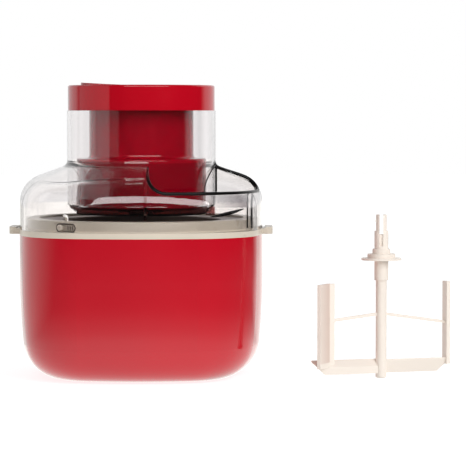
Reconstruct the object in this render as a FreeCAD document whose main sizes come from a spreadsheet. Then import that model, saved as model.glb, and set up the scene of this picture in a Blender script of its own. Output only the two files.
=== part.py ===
import FreeCAD, Part
import math
import os
import re

import Sketcher
from FreeCAD import Placement, Rotation, Vector

# Countertop ice cream maker: a red casing, a freezer bowl that hangs in it from a cream rim, a clear lid
# with a pouring spout, a geared motor unit that drops into the lid, and the mixing paddle beside it.
# Millimetres, +Z up. The origin is the middle of the base pad's underside, and the front faces -Y.

SIZES = {
    # Plan shape shared by casing, rim and lid: a square with bowed sides and round corners
    "body_half": 100.0,
    "side_radius": 215.0,
    "corner_radius": 62.0,
    # Casing
    "foot_gap": 1.0,
    "casing_height": 116.0,
    "casing_wall": 3.0,
    "base_round": 30.0,
    "wall_lean": 6.0,
    "belly_height": 83.0,
    "floor_lap": 7.0,
    "pad_radius": 47.5,
    "pad_thickness": 2.5,
    "pad_clear": 0.25,
    "pad_edge": 0.8,
    # Rim
    "lip_height": 4.6,
    "band_height": 8.6,
    "band_width": 11.1,
    "ring_wall": 2.4,
    "ledge_width": 6.0,
    "ledge_drop": 4.5,
    "spigot_depth": 8.0,
    "spigot_wall": 2.5,
    "spigot_clear": 0.4,
    "ear_reach": 8.2,
    "ear_half": 17.0,
    "ear_root": 4.0,
    "ear_notch": 2.2,
    "ear_height": 5.8,
    "ear_round": 5.0,
    "catch_angle": 36.1,
    "catch_length": 19.0,
    "catch_height": 6.4,
    "catch_rise": 3.3,
    "catch_depth": 1.5,
    "catch_button": 2.7,
    "catch_post_width": 1.8,
    "catch_post_height": 3.0,
    "band_edge": 0.8,
    # Freezer bowl
    "seal_thickness": 0.8,
    "seal_inset": 1.0,
    "flange_thickness": 2.0,
    "flange_clear": 0.5,
    "bowl_clear": 0.5,
    "bowl_base_gap": 8.0,
    "shell_wall": 2.0,
    "shell_round": 18.0,
    "jacket": 13.5,
    "base_jacket": 18.0,
    "bowl_draft": 2.5,
    "bowl_round": 10.0,
    "liner_wall": 1.5,
    "mouth_round": 1.2,
    "dimple_radius": 8.0,
    "dimple_depth": 4.0,
    "gel_gap": 0.3,
    "gel_headroom": 8.0,
    "plug_radius": 5.0,
    "plug_head": 8.0,
    "plug_head_height": 1.6,
    "plug_clear": 0.1,
    # Clear lid
    "lid_wall": 2.8,
    "lid_clear": 0.6,
    "lid_height": 96.4,
    "shoulder_rise": 52.0,
    "shoulder_slope": 20.0,
    "shoulder_round": 23.0,
    "neck_radius": 61.3,
    "neck_fillet": 5.0,
    "well_gap": 2.8,
    "well_floor": 2.5,
    "well_chamfer": 8.0,
    "well_hole": 20.0,
    "spout_edge": 8.0,
    "spout_sill": 31.6,
    "spout_round": 16.0,
    "baffle_wall": 2.4,
    "baffle_clear": 2.0,
    # Cap and rocker
    "cap_inset": 0.8,
    "cap_height": 20.7,
    "cap_wall": 3.0,
    "cap_edge": 1.5,
    "cap_boss": 4.0,
    "tub_gap": 4.7,
    "tub_wall": 2.0,
    "rocker_clear": 0.8,
    "rocker_half_width": 17.2,
    "rocker_skirt": 0.4,
    "rocker_rise": 6.2,
    "rocker_dish": 3.6,
    "rocker_tilt": 1.25,
    "rocker_edge": 0.7,
    "rocker_hub": 4.0,
    "hub_gap": 1.0,
    "pin_drop": 4.7,
    "pin_radius": 1.5,
    "running_gap": 0.05,
    "switch_offset": 24.0,
    "switch_half_length": 10.0,
    "switch_half_width": 5.0,
    "switch_height": 12.0,
    "plunger_radius": 2.0,
    "plunger_gap": 1.4,
    "gland_flange": 5.5,
    "gland_sleeve": 4.0,
    "gland_bore": 3.0,
    "gland_lip": 1.4,
    "gland_clear": 0.4,
    # Motor housing, drum and fasteners
    "flange_lip": 3.0,
    "flange_gap": 0.5,
    "step_width": 10.5,
    "housing_wall": 2.5,
    "housing_foot": 3.2,
    "housing_fillet": 3.0,
    "drum_gap": 5.0,
    "drum_clear": 2.5,
    "drum_floor": 4.0,
    "drum_wall": 2.5,
    "drum_edge": 4.0,
    "plate_thickness": 2.5,
    "plate_clear": 0.5,
    "pillar_radius": 3.5,
    "pillar_inset": 2.5,
    "screw_radius": 1.5,
    "screw_clear": 0.2,
    "screw_head": 2.9,
    "screw_head_height": 1.8,
    "head_clear": 0.3,
    "screw_bite": 2.4,
    "cap_screw_bite": 8.0,
    # Motor
    "can_gap": 6.5,
    "can_wall": 1.2,
    "can_headroom": 9.5,
    "coil_clear": 0.4,
    "air_gap": 0.8,
    "coil_headroom": 2.0,
    "coil_round": 2.0,
    "rotor_radius": 19.0,
    "rotor_foot": 2.5,
    "rotor_headroom": 4.0,
    "shaft_radius": 2.0,
    "shaft_bush": 5.0,
    "shaft_bush_rise": 1.5,
    "shaft_tail": 1.0,
    "shaft_gap": 1.1,
    # Gear train and paddle drive
    "gear_module": 0.75,
    "pinion_teeth": 16,
    "wheel_teeth": 48,
    "tooth_slack": 0.08,
    "wheel_width": 4.5,
    "wheel_gap": 0.8,
    "drive_gear_width": 8.0,
    "idler_hub": 4.5,
    "idler_seat": 2.0,
    "hub_radius": 9.5,
    "bush_length": 10.0,
    "bush_wall": 3.0,
    "boss_wall": 3.5,
    "washer_thickness": 1.0,
    "washer_width": 4.0,
    "washer_clear": 0.35,
    "mouth_drop": 1.0,
    "socket_clear": 0.4,
    "socket_play": 0.6,
    "socket_roof": 2.5,
    "web_inset": 1.2,
    "web_clear": 0.4,
    # Mixing paddle
    "stand_gap": 29.3,
    "stand_forward": 29.0,
    "stand_turn": 16.6,
    "scrape_gap": 4.0,
    "paddle_play": 1.0,
    "stem_radius": 4.5,
    "stem_foot": 0.9,
    "stem_height": 80.0,
    "collar_radius": 5.7,
    "disc_height": 96.4,
    "disc_thickness": 1.6,
    "disc_radius": 16.3,
    "disc_clear": 0.15,
    "step_radius": 11.4,
    "step_height": 3.5,
    "prong_step_radius": 7.3,
    "prong_step_height": 4.0,
    "prong_length": 28.0,
    "prong_root": 14.6,
    "prong_radius": 4.4,
    "prong_slot": 3.0,
    "slot_foot": 2.5,
    "fork_turn": 20.2,
    "fork_web": 9.3,
    "fork_groove": 1.5,
    "snap_radius": 1.1,
    "snap_drop": 5.0,
    "snap_length": 4.0,
    "bar_foot": 4.0,
    "bar_height": 11.5,
    "bar_face": 6.0,
    "bar_front": 2.6,
    "bar_back": 3.4,
    "bar_skin": 2.2,
    "bar_chamfer": 10.0,
    "blade_height": 78.0,
    "blade_wall": 2.0,
    "blade_strip": 5.2,
    "blade_corner": 45.6,
    "wing_run": 12.8,
    "wing_swing": 13.9,
    "post_wall": 3.0,
    "post_half": 5.0,
    "strut_height": 52.5,
    "strut_drop": 4.6,
    "post_strut_drop": 8.1,
    "strut_half": 1.2,
}

# Heights, written as sums of sizes
CASING_TOP = "foot_gap + casing_height"
LIP_TOP = f"{CASING_TOP} + lip_height"
BAND_TOP = f"{LIP_TOP} + band_height"
LEDGE = f"{BAND_TOP} - ledge_drop"
FLANGE_UNDER = f"{LEDGE} + seal_thickness"
FLANGE_TOP = f"{FLANGE_UNDER} + flange_thickness"
SHELL_BASE = "foot_gap + casing_wall + bowl_base_gap"
BOWL_FLOOR = f"{SHELL_BASE} + shell_wall + base_jacket"
DIMPLE_FLOOR = f"{BOWL_FLOOR} - dimple_depth"
NECK_TOP = f"{LIP_TOP} + lid_height"
SHOULDER_TOP = f"{LIP_TOP} + shoulder_rise"
SILL = f"{LIP_TOP} + spout_sill"
WELL_UNDER = f"{BAND_TOP} + well_gap"
WELL_FLOOR = f"{WELL_UNDER} + well_floor"
CAP_TOP = f"{NECK_TOP} + cap_height"
CAP_UNDER = f"{CAP_TOP} - cap_wall"
HOUSING_TOP = f"{NECK_TOP} + flange_lip"
PIN_LEVEL = f"{CAP_TOP} - pin_drop"
TUB_FLOOR = f"{PIN_LEVEL} - rocker_hub - hub_gap"
TUB_UNDER = f"{TUB_FLOOR} - tub_wall"
GLAND_LEVEL = f"{HOUSING_TOP} + gland_flange + gland_clear"
DRUM_BASE = f"{WELL_FLOOR} + drum_clear"
DRUM_FLOOR = f"{DRUM_BASE} + drum_floor"
BUSH_TOP = f"{DRUM_BASE} + bush_length"
WASHER_TOP = f"{BUSH_TOP} + washer_thickness"
SOCKET_MOUTH = f"{WELL_FLOOR} - mouth_drop"
SOCKET_END = f"{SOCKET_MOUTH} + prong_length + socket_play"
SOCKET_TOP = f"{SOCKET_END} + socket_roof"
SHAFT_LOW = f"{SOCKET_TOP} + shaft_gap"
WHEEL_LOW = f"{SHAFT_LOW} + shaft_tail"
WHEEL_TOP = f"{WHEEL_LOW} + wheel_width"
PLATE_UNDER = f"{WHEEL_TOP} + wheel_gap"
STEP_TOP = f"{PLATE_UNDER} + plate_thickness"
CAN_TOP = f"{NECK_TOP} - can_headroom"

# Radii and reaches
BAND_R = "body_half - lid_wall - lid_clear"
SEAT_R = f"{BAND_R} - band_width"
FLANGE_R = f"{SEAT_R} - flange_clear"
RIM_HOLE_R = f"{SEAT_R} - ledge_width"
BOWL_R = f"{RIM_HOLE_R} - bowl_clear"
LINER_TOP_R = f"{BOWL_R} - jacket"
LINER_LOW_R = f"{LINER_TOP_R} - bowl_draft"
NECK_BORE = "neck_radius - lid_wall"
CAP_R = "neck_radius - cap_inset"
CAP_BORE = f"{CAP_R} - cap_wall"
FLANGE_LIP_R = f"{CAP_BORE} - flange_gap"
DRUM_R = f"{NECK_BORE} - drum_gap"
DRUM_BORE = f"{DRUM_R} - drum_wall"
UPPER_R = f"{DRUM_R} - step_width"
UPPER_BORE = f"{UPPER_R} - housing_wall"
CAN_R = f"{UPPER_BORE} - can_gap"
PLATE_R = f"{DRUM_BORE} - plate_clear"
PILLAR_CIRCLE = f"{DRUM_BORE} - pillar_radius - pillar_inset"
CAP_BOSS_CIRCLE = f"({UPPER_R} + {FLANGE_LIP_R}) / 2"
ROCKER_HALF = f"{CAP_BORE} - tub_gap - tub_wall - rocker_clear"
BUSH_R = "hub_radius + bush_wall"
GEAR_OFFSET = "(pinion_teeth + wheel_teeth) * gear_module / 2"
FAR = "body_half + corner_radius"
PADDLE_REACH = f"{LINER_LOW_R} - scrape_gap"
PADDLE_X = f"body_half + ear_reach + stand_gap + {PADDLE_REACH}"
COLLAR_TOP = f"{SOCKET_MOUTH} - ({DIMPLE_FLOOR}) - paddle_play"
PADDLE_TOP = f"{COLLAR_TOP} + prong_length"
STEPS_TOP = "disc_height + disc_thickness + step_height + prong_step_height"
FORK_ROOT = f"max({COLLAR_TOP}; {STEPS_TOP})"

UP = Vector(0, 0, 1)
CLOSE = 1e-4
SCREWS_PER_RING = 4
CATCHES = 2
FIRST_SCREW_TURN = 45.0
PRESSURE_ANGLE = math.radians(20)
TOOTH_DEDENDUM = 1.25

doc = FreeCAD.newDocument("ice_cream_maker")
sheet = doc.addObject("Spreadsheet::Sheet", "sizes")
for row, (alias, size) in enumerate(SIZES.items(), start=1):
    sheet.set(f"A{row}", alias)
    sheet.set(f"B{row}", str(size))
    sheet.setAlias(f"B{row}", alias)
doc.recompute()

pieces = []


def ex(text):
    """The expression with every size name pointing into the sheet."""
    def in_sheet(match):
        word = match.group(0)
        return f"sizes.{word}" if word in SIZES else word
    return re.sub(r"[a-z][a-z_0-9]*", in_sheet, str(text))


def val(text):
    """The expression's present value."""
    return float(sheet.evalExpression(ex(text)))


def keep(piece, label):
    """Name a finished piece, which is then one of the part's nodes."""
    piece.Label = label
    pieces.append(piece)
    return piece


def new_body(name):
    return doc.addObject("PartDesign::Body", name)


def new_sketch(body, name, role, level="0"):
    """A sketch on one of the body's origin planes, lifted off it by level along the plane's normal."""
    sketch = body.newObject("Sketcher::SketchObject", name)
    plane = next(item for item in body.Origin.OriginFeatures if item.Role == role)
    sketch.AttachmentSupport = [(plane, "")]
    sketch.MapMode = "FlatFace"
    sketch.setExpression("AttachmentOffset.Base.z", ex(level))
    return sketch


def bind(sketch, constraint, expression):
    """Add a constraint whose value follows the sheet."""
    index = sketch.addConstraint(constraint)
    sketch.setExpression(f"Constraints[{index}]", ex(expression))


def pin_point(sketch, edge, end, corner):
    """Hold one end of an edge at a corner's two coordinates."""
    kinds = (("DistanceX", -2), ("DistanceY", -1))
    for (kind, axis), expression in zip(kinds, corner):
        value = val(expression)
        if abs(value) < CLOSE:
            sketch.addConstraint(Sketcher.Constraint("PointOnObject", edge, end, axis))
        else:
            bind(sketch, Sketcher.Constraint(kind, -1, 1, edge, end, value), expression)


def add_arc(sketch, here, there, bend):
    """An arc from here to there; a positive bend turns left. Returns its start and end point numbers."""
    turn = val(bend)
    radius = abs(turn)
    chord = there - here
    rise = math.sqrt(max(radius ** 2 - (chord.Length / 2) ** 2, 0.0))
    left = Vector(-chord.y, chord.x, 0).normalize()
    centre = (here + there) * 0.5 + left * math.copysign(rise, turn)
    first, last = (here, there) if turn > 0 else (there, here)
    start = math.atan2(first.y - centre.y, first.x - centre.x)
    end = math.atan2(last.y - centre.y, last.x - centre.x)
    if end < start:
        end += 2 * math.pi
    edge = sketch.addGeometry(Part.ArcOfCircle(Part.Circle(centre, UP, radius), start, end))
    bind(sketch, Sketcher.Constraint("Radius", edge, radius), f"abs({bend})")
    return (1, 2) if turn > 0 else (2, 1)


def outline(body, name, role, corners, level="0", sketch=None):
    """A closed outline. A corner is (x, y), or (x, y, bend) where an arc leaves it."""
    sketch = sketch or new_sketch(body, name, role, level)
    base = sketch.GeometryCount
    spots = [Vector(val(corner[0]), val(corner[1]), 0) for corner in corners]
    ends = []
    for corner, here, there in zip(corners, spots, spots[1:] + spots[:1]):
        if len(corner) == 2:
            sketch.addGeometry(Part.LineSegment(here, there))
            ends.append((1, 2))
        else:
            ends.append(add_arc(sketch, here, there, corner[2]))
    for index, (start, _) in enumerate(ends):
        before = index - 1 if index else len(ends) - 1
        sketch.addConstraint(
            Sketcher.Constraint("Coincident", base + before, ends[before][1], base + index, start))
        pin_point(sketch, base + index, start, corners[index][:2])
    return sketch


def circle(body, name, level, radius, x="0", y="0", role="XY_Plane"):
    """One circle on a plane parallel to an origin plane."""
    sketch = new_sketch(body, name, role, level)
    centre = Vector(val(x), val(y), 0)
    edge = sketch.addGeometry(Part.Circle(centre, UP, val(radius)))
    bind(sketch, Sketcher.Constraint("Radius", edge, val(radius)), radius)
    pin_point(sketch, edge, 3, (x, y))
    return sketch


def rectangle(body, name, level, low_x, high_x, low_y, high_y, role="XY_Plane"):
    corners = [(low_x, low_y), (high_x, low_y), (high_x, high_y), (low_x, high_y)]
    return outline(body, name, role, corners, level)


def stadium(body, name, level, half_length, half_width):
    """A slot outline with round ends, along X."""
    straight = f"{half_length} - ({half_width})"
    low = f"-({half_width})"
    corners = [
        (f"-({straight})", low),
        (straight, low, half_width),
        (half_length, "0", half_width),
        (straight, half_width),
        (f"-({straight})", half_width, half_width),
        (f"-({half_length})", "0", half_width),
    ]
    return outline(body, name, "XY_Plane", corners, level)


def plan_shape(body, name, level, inset):
    """The bowed square, inset evenly: four side arcs and four corner arcs, each tangent to the next.

    The first side is cut where it crosses +X, so that a profile on the XZ plane can be carried round it.
    """
    half, side, corner = (f"{size} - ({inset})" for size in ("body_half", "side_radius", "corner_radius"))
    sketch = new_sketch(body, name, "XY_Plane", level)
    bow = val(side) - val(half)
    offset = val(side) - val(corner)
    swing = math.acos(bow / (offset * math.sqrt(2))) - math.pi / 4
    reach = offset * math.sin(swing) * math.sqrt(2)

    def arc(turn, distance, radius, start, end):
        centre = Vector(math.cos(turn), math.sin(turn), 0) * distance
        return sketch.addGeometry(Part.ArcOfCircle(Part.Circle(centre, UP, radius), start, end))

    sides = [arc(0, -bow, val(side), 0, swing)]
    corners = []
    for quarter in range(4):
        turn = quarter * math.pi / 2
        if quarter:
            sides.append(arc(turn, -bow, val(side), turn - swing, turn + swing))
        corners.append(arc(turn + math.pi / 4, reach, val(corner), turn + swing, turn + math.pi / 2 - swing))
    sides.append(arc(0, -bow, val(side), -swing, 0))

    ring = [edge for pair in zip(sides, corners) for edge in pair] + [sides[-1]]
    for edge, after in zip(ring, ring[1:]):
        sketch.addConstraint(Sketcher.Constraint("Tangent", edge, 2, after, 1))
    sketch.addConstraint(Sketcher.Constraint("Coincident", ring[-1], 2, ring[0], 1))
    sketch.addConstraint(Sketcher.Constraint("PointOnObject", ring[0], 1, -1))
    for edge, axis in zip(sides, (-1, -2, -1, -2, -1)):
        sketch.addConstraint(Sketcher.Constraint("PointOnObject", edge, 3, axis))
    for group, radius in ((sides, side), (corners, corner)):
        bind(sketch, Sketcher.Constraint("Radius", group[0], val(radius)), radius)
        for edge in group[1:]:
            sketch.addConstraint(Sketcher.Constraint("Equal", group[0], edge))
    for edge, kind, outward in zip(sides, ("DistanceX", "DistanceY") * 2, (1, 1, 0, 0)):
        points = (edge, 3, -1, 1) if outward else (-1, 1, edge, 3)
        bind(sketch, Sketcher.Constraint(kind, *points, bow), f"{side} - ({half})")
    return sketch


def pad(body, name, sketch, length, down=False, both_ways=False):
    feature = body.newObject("PartDesign::Pad", name)
    feature.Profile = sketch
    feature.setExpression("Length", ex(length))
    feature.Reversed = down
    feature.Midplane = both_ways
    doc.recompute()
    return feature


def cut_away(body, feature, before):
    """A cut that removes nothing points the wrong way."""
    doc.recompute()
    if body.Shape.Volume > before - CLOSE:
        raise ValueError(f"{feature.Name} removes nothing")
    return feature


def pocket(body, name, sketch, length, up=False, both_ways=False):
    before = body.Shape.Volume
    feature = body.newObject("PartDesign::Pocket", name)
    feature.Profile = sketch
    feature.setExpression("Length", ex(length))
    feature.Reversed = up
    feature.Midplane = both_ways
    return cut_away(body, feature, before)


def spin(body, name, corners):
    """A profile of (radius, height) corners turned about the Z axis."""
    sketch = outline(body, f"{name}_profile", "XZ_Plane", corners)
    feature = body.newObject("PartDesign::Revolution", name)
    feature.Profile = sketch
    feature.ReferenceAxis = (sketch, ["V_Axis"])
    feature.Angle = 360
    doc.recompute()
    return feature


def spin_cut(body, name, corners):
    """A profile of (radius, height) corners turned about the Z axis and taken away."""
    before = body.Shape.Volume
    sketch = outline(body, f"{name}_profile", "XZ_Plane", corners)
    feature = body.newObject("PartDesign::Groove", name)
    feature.Profile = sketch
    feature.ReferenceAxis = (sketch, ["V_Axis"])
    feature.Angle = 360
    return cut_away(body, feature, before)


def ring_copies(body, name, originals, count):
    """Repeat features evenly about the Z axis."""
    feature = body.newObject("PartDesign::PolarPattern", name)
    feature.Originals = originals
    feature.Axis = (next(item for item in body.Origin.OriginFeatures if item.Role == "Z_Axis"), [""])
    feature.Angle = 360
    feature.Occurrences = count
    body.Tip = feature
    doc.recompute()
    return feature


def soften(body, name, radius, chosen, kind="Fillet"):
    """Round, or chamfer, the chosen edges of the body as it stands."""
    base = body.Tip
    names = [f"Edge{number}" for number, edge in enumerate(base.Shape.Edges, start=1) if chosen(edge)]
    if not names:
        raise ValueError(f"{name} finds no edge")
    feature = body.newObject(f"PartDesign::{kind}", name)
    feature.Base = (base, names)
    feature.setExpression("Radius" if kind == "Fillet" else "Size", ex(radius))
    doc.recompute()
    return feature


def round_edge(radius, height):
    """Chooses the circular edges of a radius about Z at a height."""
    wanted_radius = val(radius)
    wanted_height = val(height)

    def chosen(edge):
        if not isinstance(edge.Curve, Part.Circle):
            return False
        on_radius = abs(edge.Curve.Radius - wanted_radius) < CLOSE
        return on_radius and abs(edge.Curve.Center.z - wanted_height) < CLOSE
    return chosen


def upright_edge(x, y=None):
    """Chooses the vertical edges at plus or minus x and, where it is given, plus or minus y."""
    wanted_x = val(x)
    wanted_y = None if y is None else val(y)

    def chosen(edge):
        box = edge.BoundBox
        upright = box.XLength < CLOSE and box.YLength < CLOSE
        at_x = abs(abs(box.XMin) - wanted_x) < CLOSE
        at_y = wanted_y is None or abs(abs(box.YMin) - wanted_y) < CLOSE
        return upright and at_x and at_y
    return chosen


def turned(label, corners):
    """A piece that is one turned profile."""
    body = new_body(label)
    spin(body, f"{label}_turned", corners)
    return keep(body, label)


def tube(label, inner, outer, low, high):
    """A plain ring about the Z axis."""
    return turned(label, [(inner, low), (outer, low), (outer, high), (inner, high)])


def rod(label, radius, low, high):
    """A plain round bar on the Z axis."""
    return turned(label, [("0", low), (radius, low), (radius, high), ("0", high)])


def boolean(kind, name, base, tool):
    """Part::Cut or Part::Common of two objects."""
    feature = doc.addObject(f"Part::{kind}", name)
    feature.Base = base
    feature.Tool = tool
    doc.recompute()
    return feature


def group(label, shapes):
    """Like solids that share one node."""
    feature = doc.addObject("Part::Feature", label)
    feature.Shape = Part.makeCompound(shapes)
    return keep(feature, label)


def around(shape, circle_radius):
    """Copies of a shape on the screw ring of a radius about the Z axis."""
    copies = []
    for index in range(SCREWS_PER_RING):
        turn = FIRST_SCREW_TURN + 360.0 / SCREWS_PER_RING * index
        rotation = Rotation(UP, turn)
        copy = shape.copy()
        copy.Placement = Placement(rotation.multVec(Vector(val(circle_radius), 0, 0)), rotation)
        copies.append(copy)
    return copies


def ring_spot(circle_radius):
    """The first place on a screw ring, as two expressions."""
    return f"({circle_radius}) * cos({FIRST_SCREW_TURN})", f"({circle_radius}) * sin({FIRST_SCREW_TURN})"


def make_casing():
    """Red tub: its wall section is carried round the plan shape, and a floor closes it.

    The wall is upright down to the belly, then leans in on a long arc that runs into the base's corner arc.
    """
    body = new_body("outer_casing")
    path = plan_shape(body, "casing_path", "0", "0")
    low_wall = "foot_gap + base_round * (1 - sin(wall_lean))"
    belly_radius = f"(belly_height - ({low_wall})) / sin(wall_lean)"
    lean_in = f"({belly_radius}) * (1 - cos(wall_lean))"
    corner_x = f"body_half - ({lean_in}) - base_round * cos(wall_lean)"
    corner_z = "foot_gap + base_round"
    inner_round = "(base_round - casing_wall)"
    floor_edge = f"{corner_x} - floor_lap"
    corners = [
        ("body_half", CASING_TOP),
        ("body_half", "belly_height", f"-({belly_radius})"),
        (f"body_half - ({lean_in})", low_wall, "-base_round"),
        (corner_x, "foot_gap"),
        (floor_edge, "foot_gap"),
        (floor_edge, "foot_gap + casing_wall"),
        (corner_x, "foot_gap + casing_wall", inner_round),
        (f"{corner_x} + {inner_round} * cos(wall_lean)",
         f"{corner_z} - {inner_round} * sin(wall_lean)", f"{belly_radius} - casing_wall"),
        ("body_half - casing_wall", "belly_height"),
        ("body_half - casing_wall", CASING_TOP),
    ]
    section = outline(body, "casing_section", "XZ_Plane", corners)
    doc.recompute()
    wall = body.newObject("PartDesign::AdditivePipe", "casing_wall_sweep")
    wall.Profile = section
    wall.Spine = (path, [f"Edge{number}" for number in range(1, path.GeometryCount + 1)])
    doc.recompute()
    floor = plan_shape(body, "floor_shape", "foot_gap", f"body_half - ({floor_edge}) - floor_lap / 2")
    pad(body, "casing_floor", floor, "casing_wall")
    recess = circle(body, "pad_recess", "foot_gap", "pad_radius + pad_clear")
    pocket(body, "pad_recess_cut", recess, "pad_thickness - foot_gap", up=True)
    return keep(body, "outer_casing")


def make_base_pad():
    """Non-slip pad let into the casing's floor; its underside is what the machine stands on."""
    body = rod("base_pad", "pad_radius", "0", "pad_thickness")
    soften(body, "pad_edge_round", "pad_edge", round_edge("pad_radius", "0"))
    return body


def make_rim_ring():
    """Cream rim: flush lip, round band inside the lid, spigot into the casing, bowl seat and two ears."""
    body = new_body("rim_ring")
    pad(body, "lip", plan_shape(body, "lip_shape", CASING_TOP, "0"), "lip_height")
    spigot = plan_shape(body, "spigot_shape", CASING_TOP, "casing_wall + spigot_clear")
    pad(body, "spigot", spigot, "spigot_depth", down=True)
    hollow_level = f"{CASING_TOP} - spigot_depth"
    hollow = plan_shape(body, "hollow_shape", hollow_level, "casing_wall + spigot_clear + spigot_wall")
    pocket(body, "spigot_hollow", hollow, "spigot_depth", up=True)
    pad(body, "band", circle(body, "band_shape", CASING_TOP, BAND_R), "lip_height + band_height")
    soften(body, "band_edge_round", "band_edge", round_edge(BAND_R, BAND_TOP))
    make_ears(body)
    make_catches(body)
    under_wall = f"{RIM_HOLE_R} + ring_wall"
    seat_wall = f"{SEAT_R} + ring_wall"
    band_wall = f"{BAND_R} - ring_wall"
    spin_cut(body, "underside", [
        (under_wall, hollow_level),
        (band_wall, hollow_level),
        (band_wall, f"{BAND_TOP} - ring_wall"),
        (seat_wall, f"{BAND_TOP} - ring_wall"),
        (seat_wall, f"{LEDGE} - ring_wall"),
        (under_wall, f"{LEDGE} - ring_wall"),
    ])
    spin_cut(body, "bowl_seat", [
        ("0", hollow_level),
        (RIM_HOLE_R, hollow_level),
        (RIM_HOLE_R, LEDGE),
        (SEAT_R, LEDGE),
        (SEAT_R, BAND_TOP),
        ("0", BAND_TOP),
    ])
    return keep(body, "rim_ring")


def make_ears(body):
    """Two side ears that the bowl is lifted by, each with a raised outer bar behind a finger notch."""
    outer = "body_half + ear_reach"
    for name, inner, height in (("plate", "body_half - ear_root", "lip_height"),
                                ("bar", "body_half + ear_notch", "ear_height")):
        sketch = rectangle(body, f"ear_{name}_shape", CASING_TOP, inner, outer, "-ear_half", "ear_half")
        left = [(f"-({outer})", "-ear_half"), (f"-({inner})", "-ear_half"),
                (f"-({inner})", "ear_half"), (f"-({outer})", "ear_half")]
        outline(body, "", "", left, sketch=sketch)
        pad(body, f"ear_{name}", sketch, height)
    soften(body, "ear_corner_round", "ear_round", upright_edge(outer, "ear_half"))


def turn_sketch(sketch, angle, reach="0"):
    """Turn an upright sketch about the body's own upright axis, and set it out from that axis."""
    turn = Rotation(Vector(0, 1, 0), val(angle))
    sketch.setExpression("AttachmentOffset.Base.z", None)
    sketch.AttachmentOffset = Placement(turn.multVec(Vector(0, 0, val(reach))), turn)
    doc.recompute()


def make_catches(body):
    """Oval lid catches sunk in the band, front left and opposite, each round a button, with a post above."""
    reach = f"{BAND_R} + band_edge"
    level = f"{LIP_TOP} + catch_rise"
    straight = "catch_length / 2 - catch_height / 2"
    low = f"{level} - catch_height / 2"
    high = f"{level} + catch_height / 2"
    half = "catch_height / 2"
    oval = [
        (f"-({straight})", low),
        (straight, low, half),
        ("catch_length / 2", level, half),
        (straight, high),
        (f"-({straight})", high, half),
        ("-catch_length / 2", level, half),
    ]
    recess = outline(body, "catch_shape", "XZ_Plane", oval)
    button = recess.addGeometry(Part.Circle(Vector(-val(straight), val(level), 0), UP, val("catch_button")))
    bind(recess, Sketcher.Constraint("Radius", button, val("catch_button")), "catch_button")
    pin_point(recess, button, 3, (f"-({straight})", level))
    turn_sketch(recess, "-catch_angle", reach)
    sunk = pocket(body, "catch_recess", recess, "catch_depth + band_edge")
    ring_copies(body, "catch_recesses", [sunk], CATCHES)
    post_reach = f"{BAND_R} - ring_wall / 2"
    corners = []
    for out, along in ((-1, -1), (1, -1), (1, 1), (-1, 1)):
        radial = f"({post_reach} + {out} * catch_post_width / 2)"
        tangent = f"({along} * catch_post_width / 2)"
        corners.append((f"-{radial} * sin(catch_angle) - {tangent} * cos(catch_angle)",
                        f"-{radial} * cos(catch_angle) + {tangent} * sin(catch_angle)"))
    foot = outline(body, "post_shape", "XY_Plane", corners, f"{BAND_TOP} - ring_wall / 2")
    post = pad(body, "catch_post", foot, "catch_post_height + ring_wall / 2")
    ring_copies(body, "catch_posts", [post], CATCHES)


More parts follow.
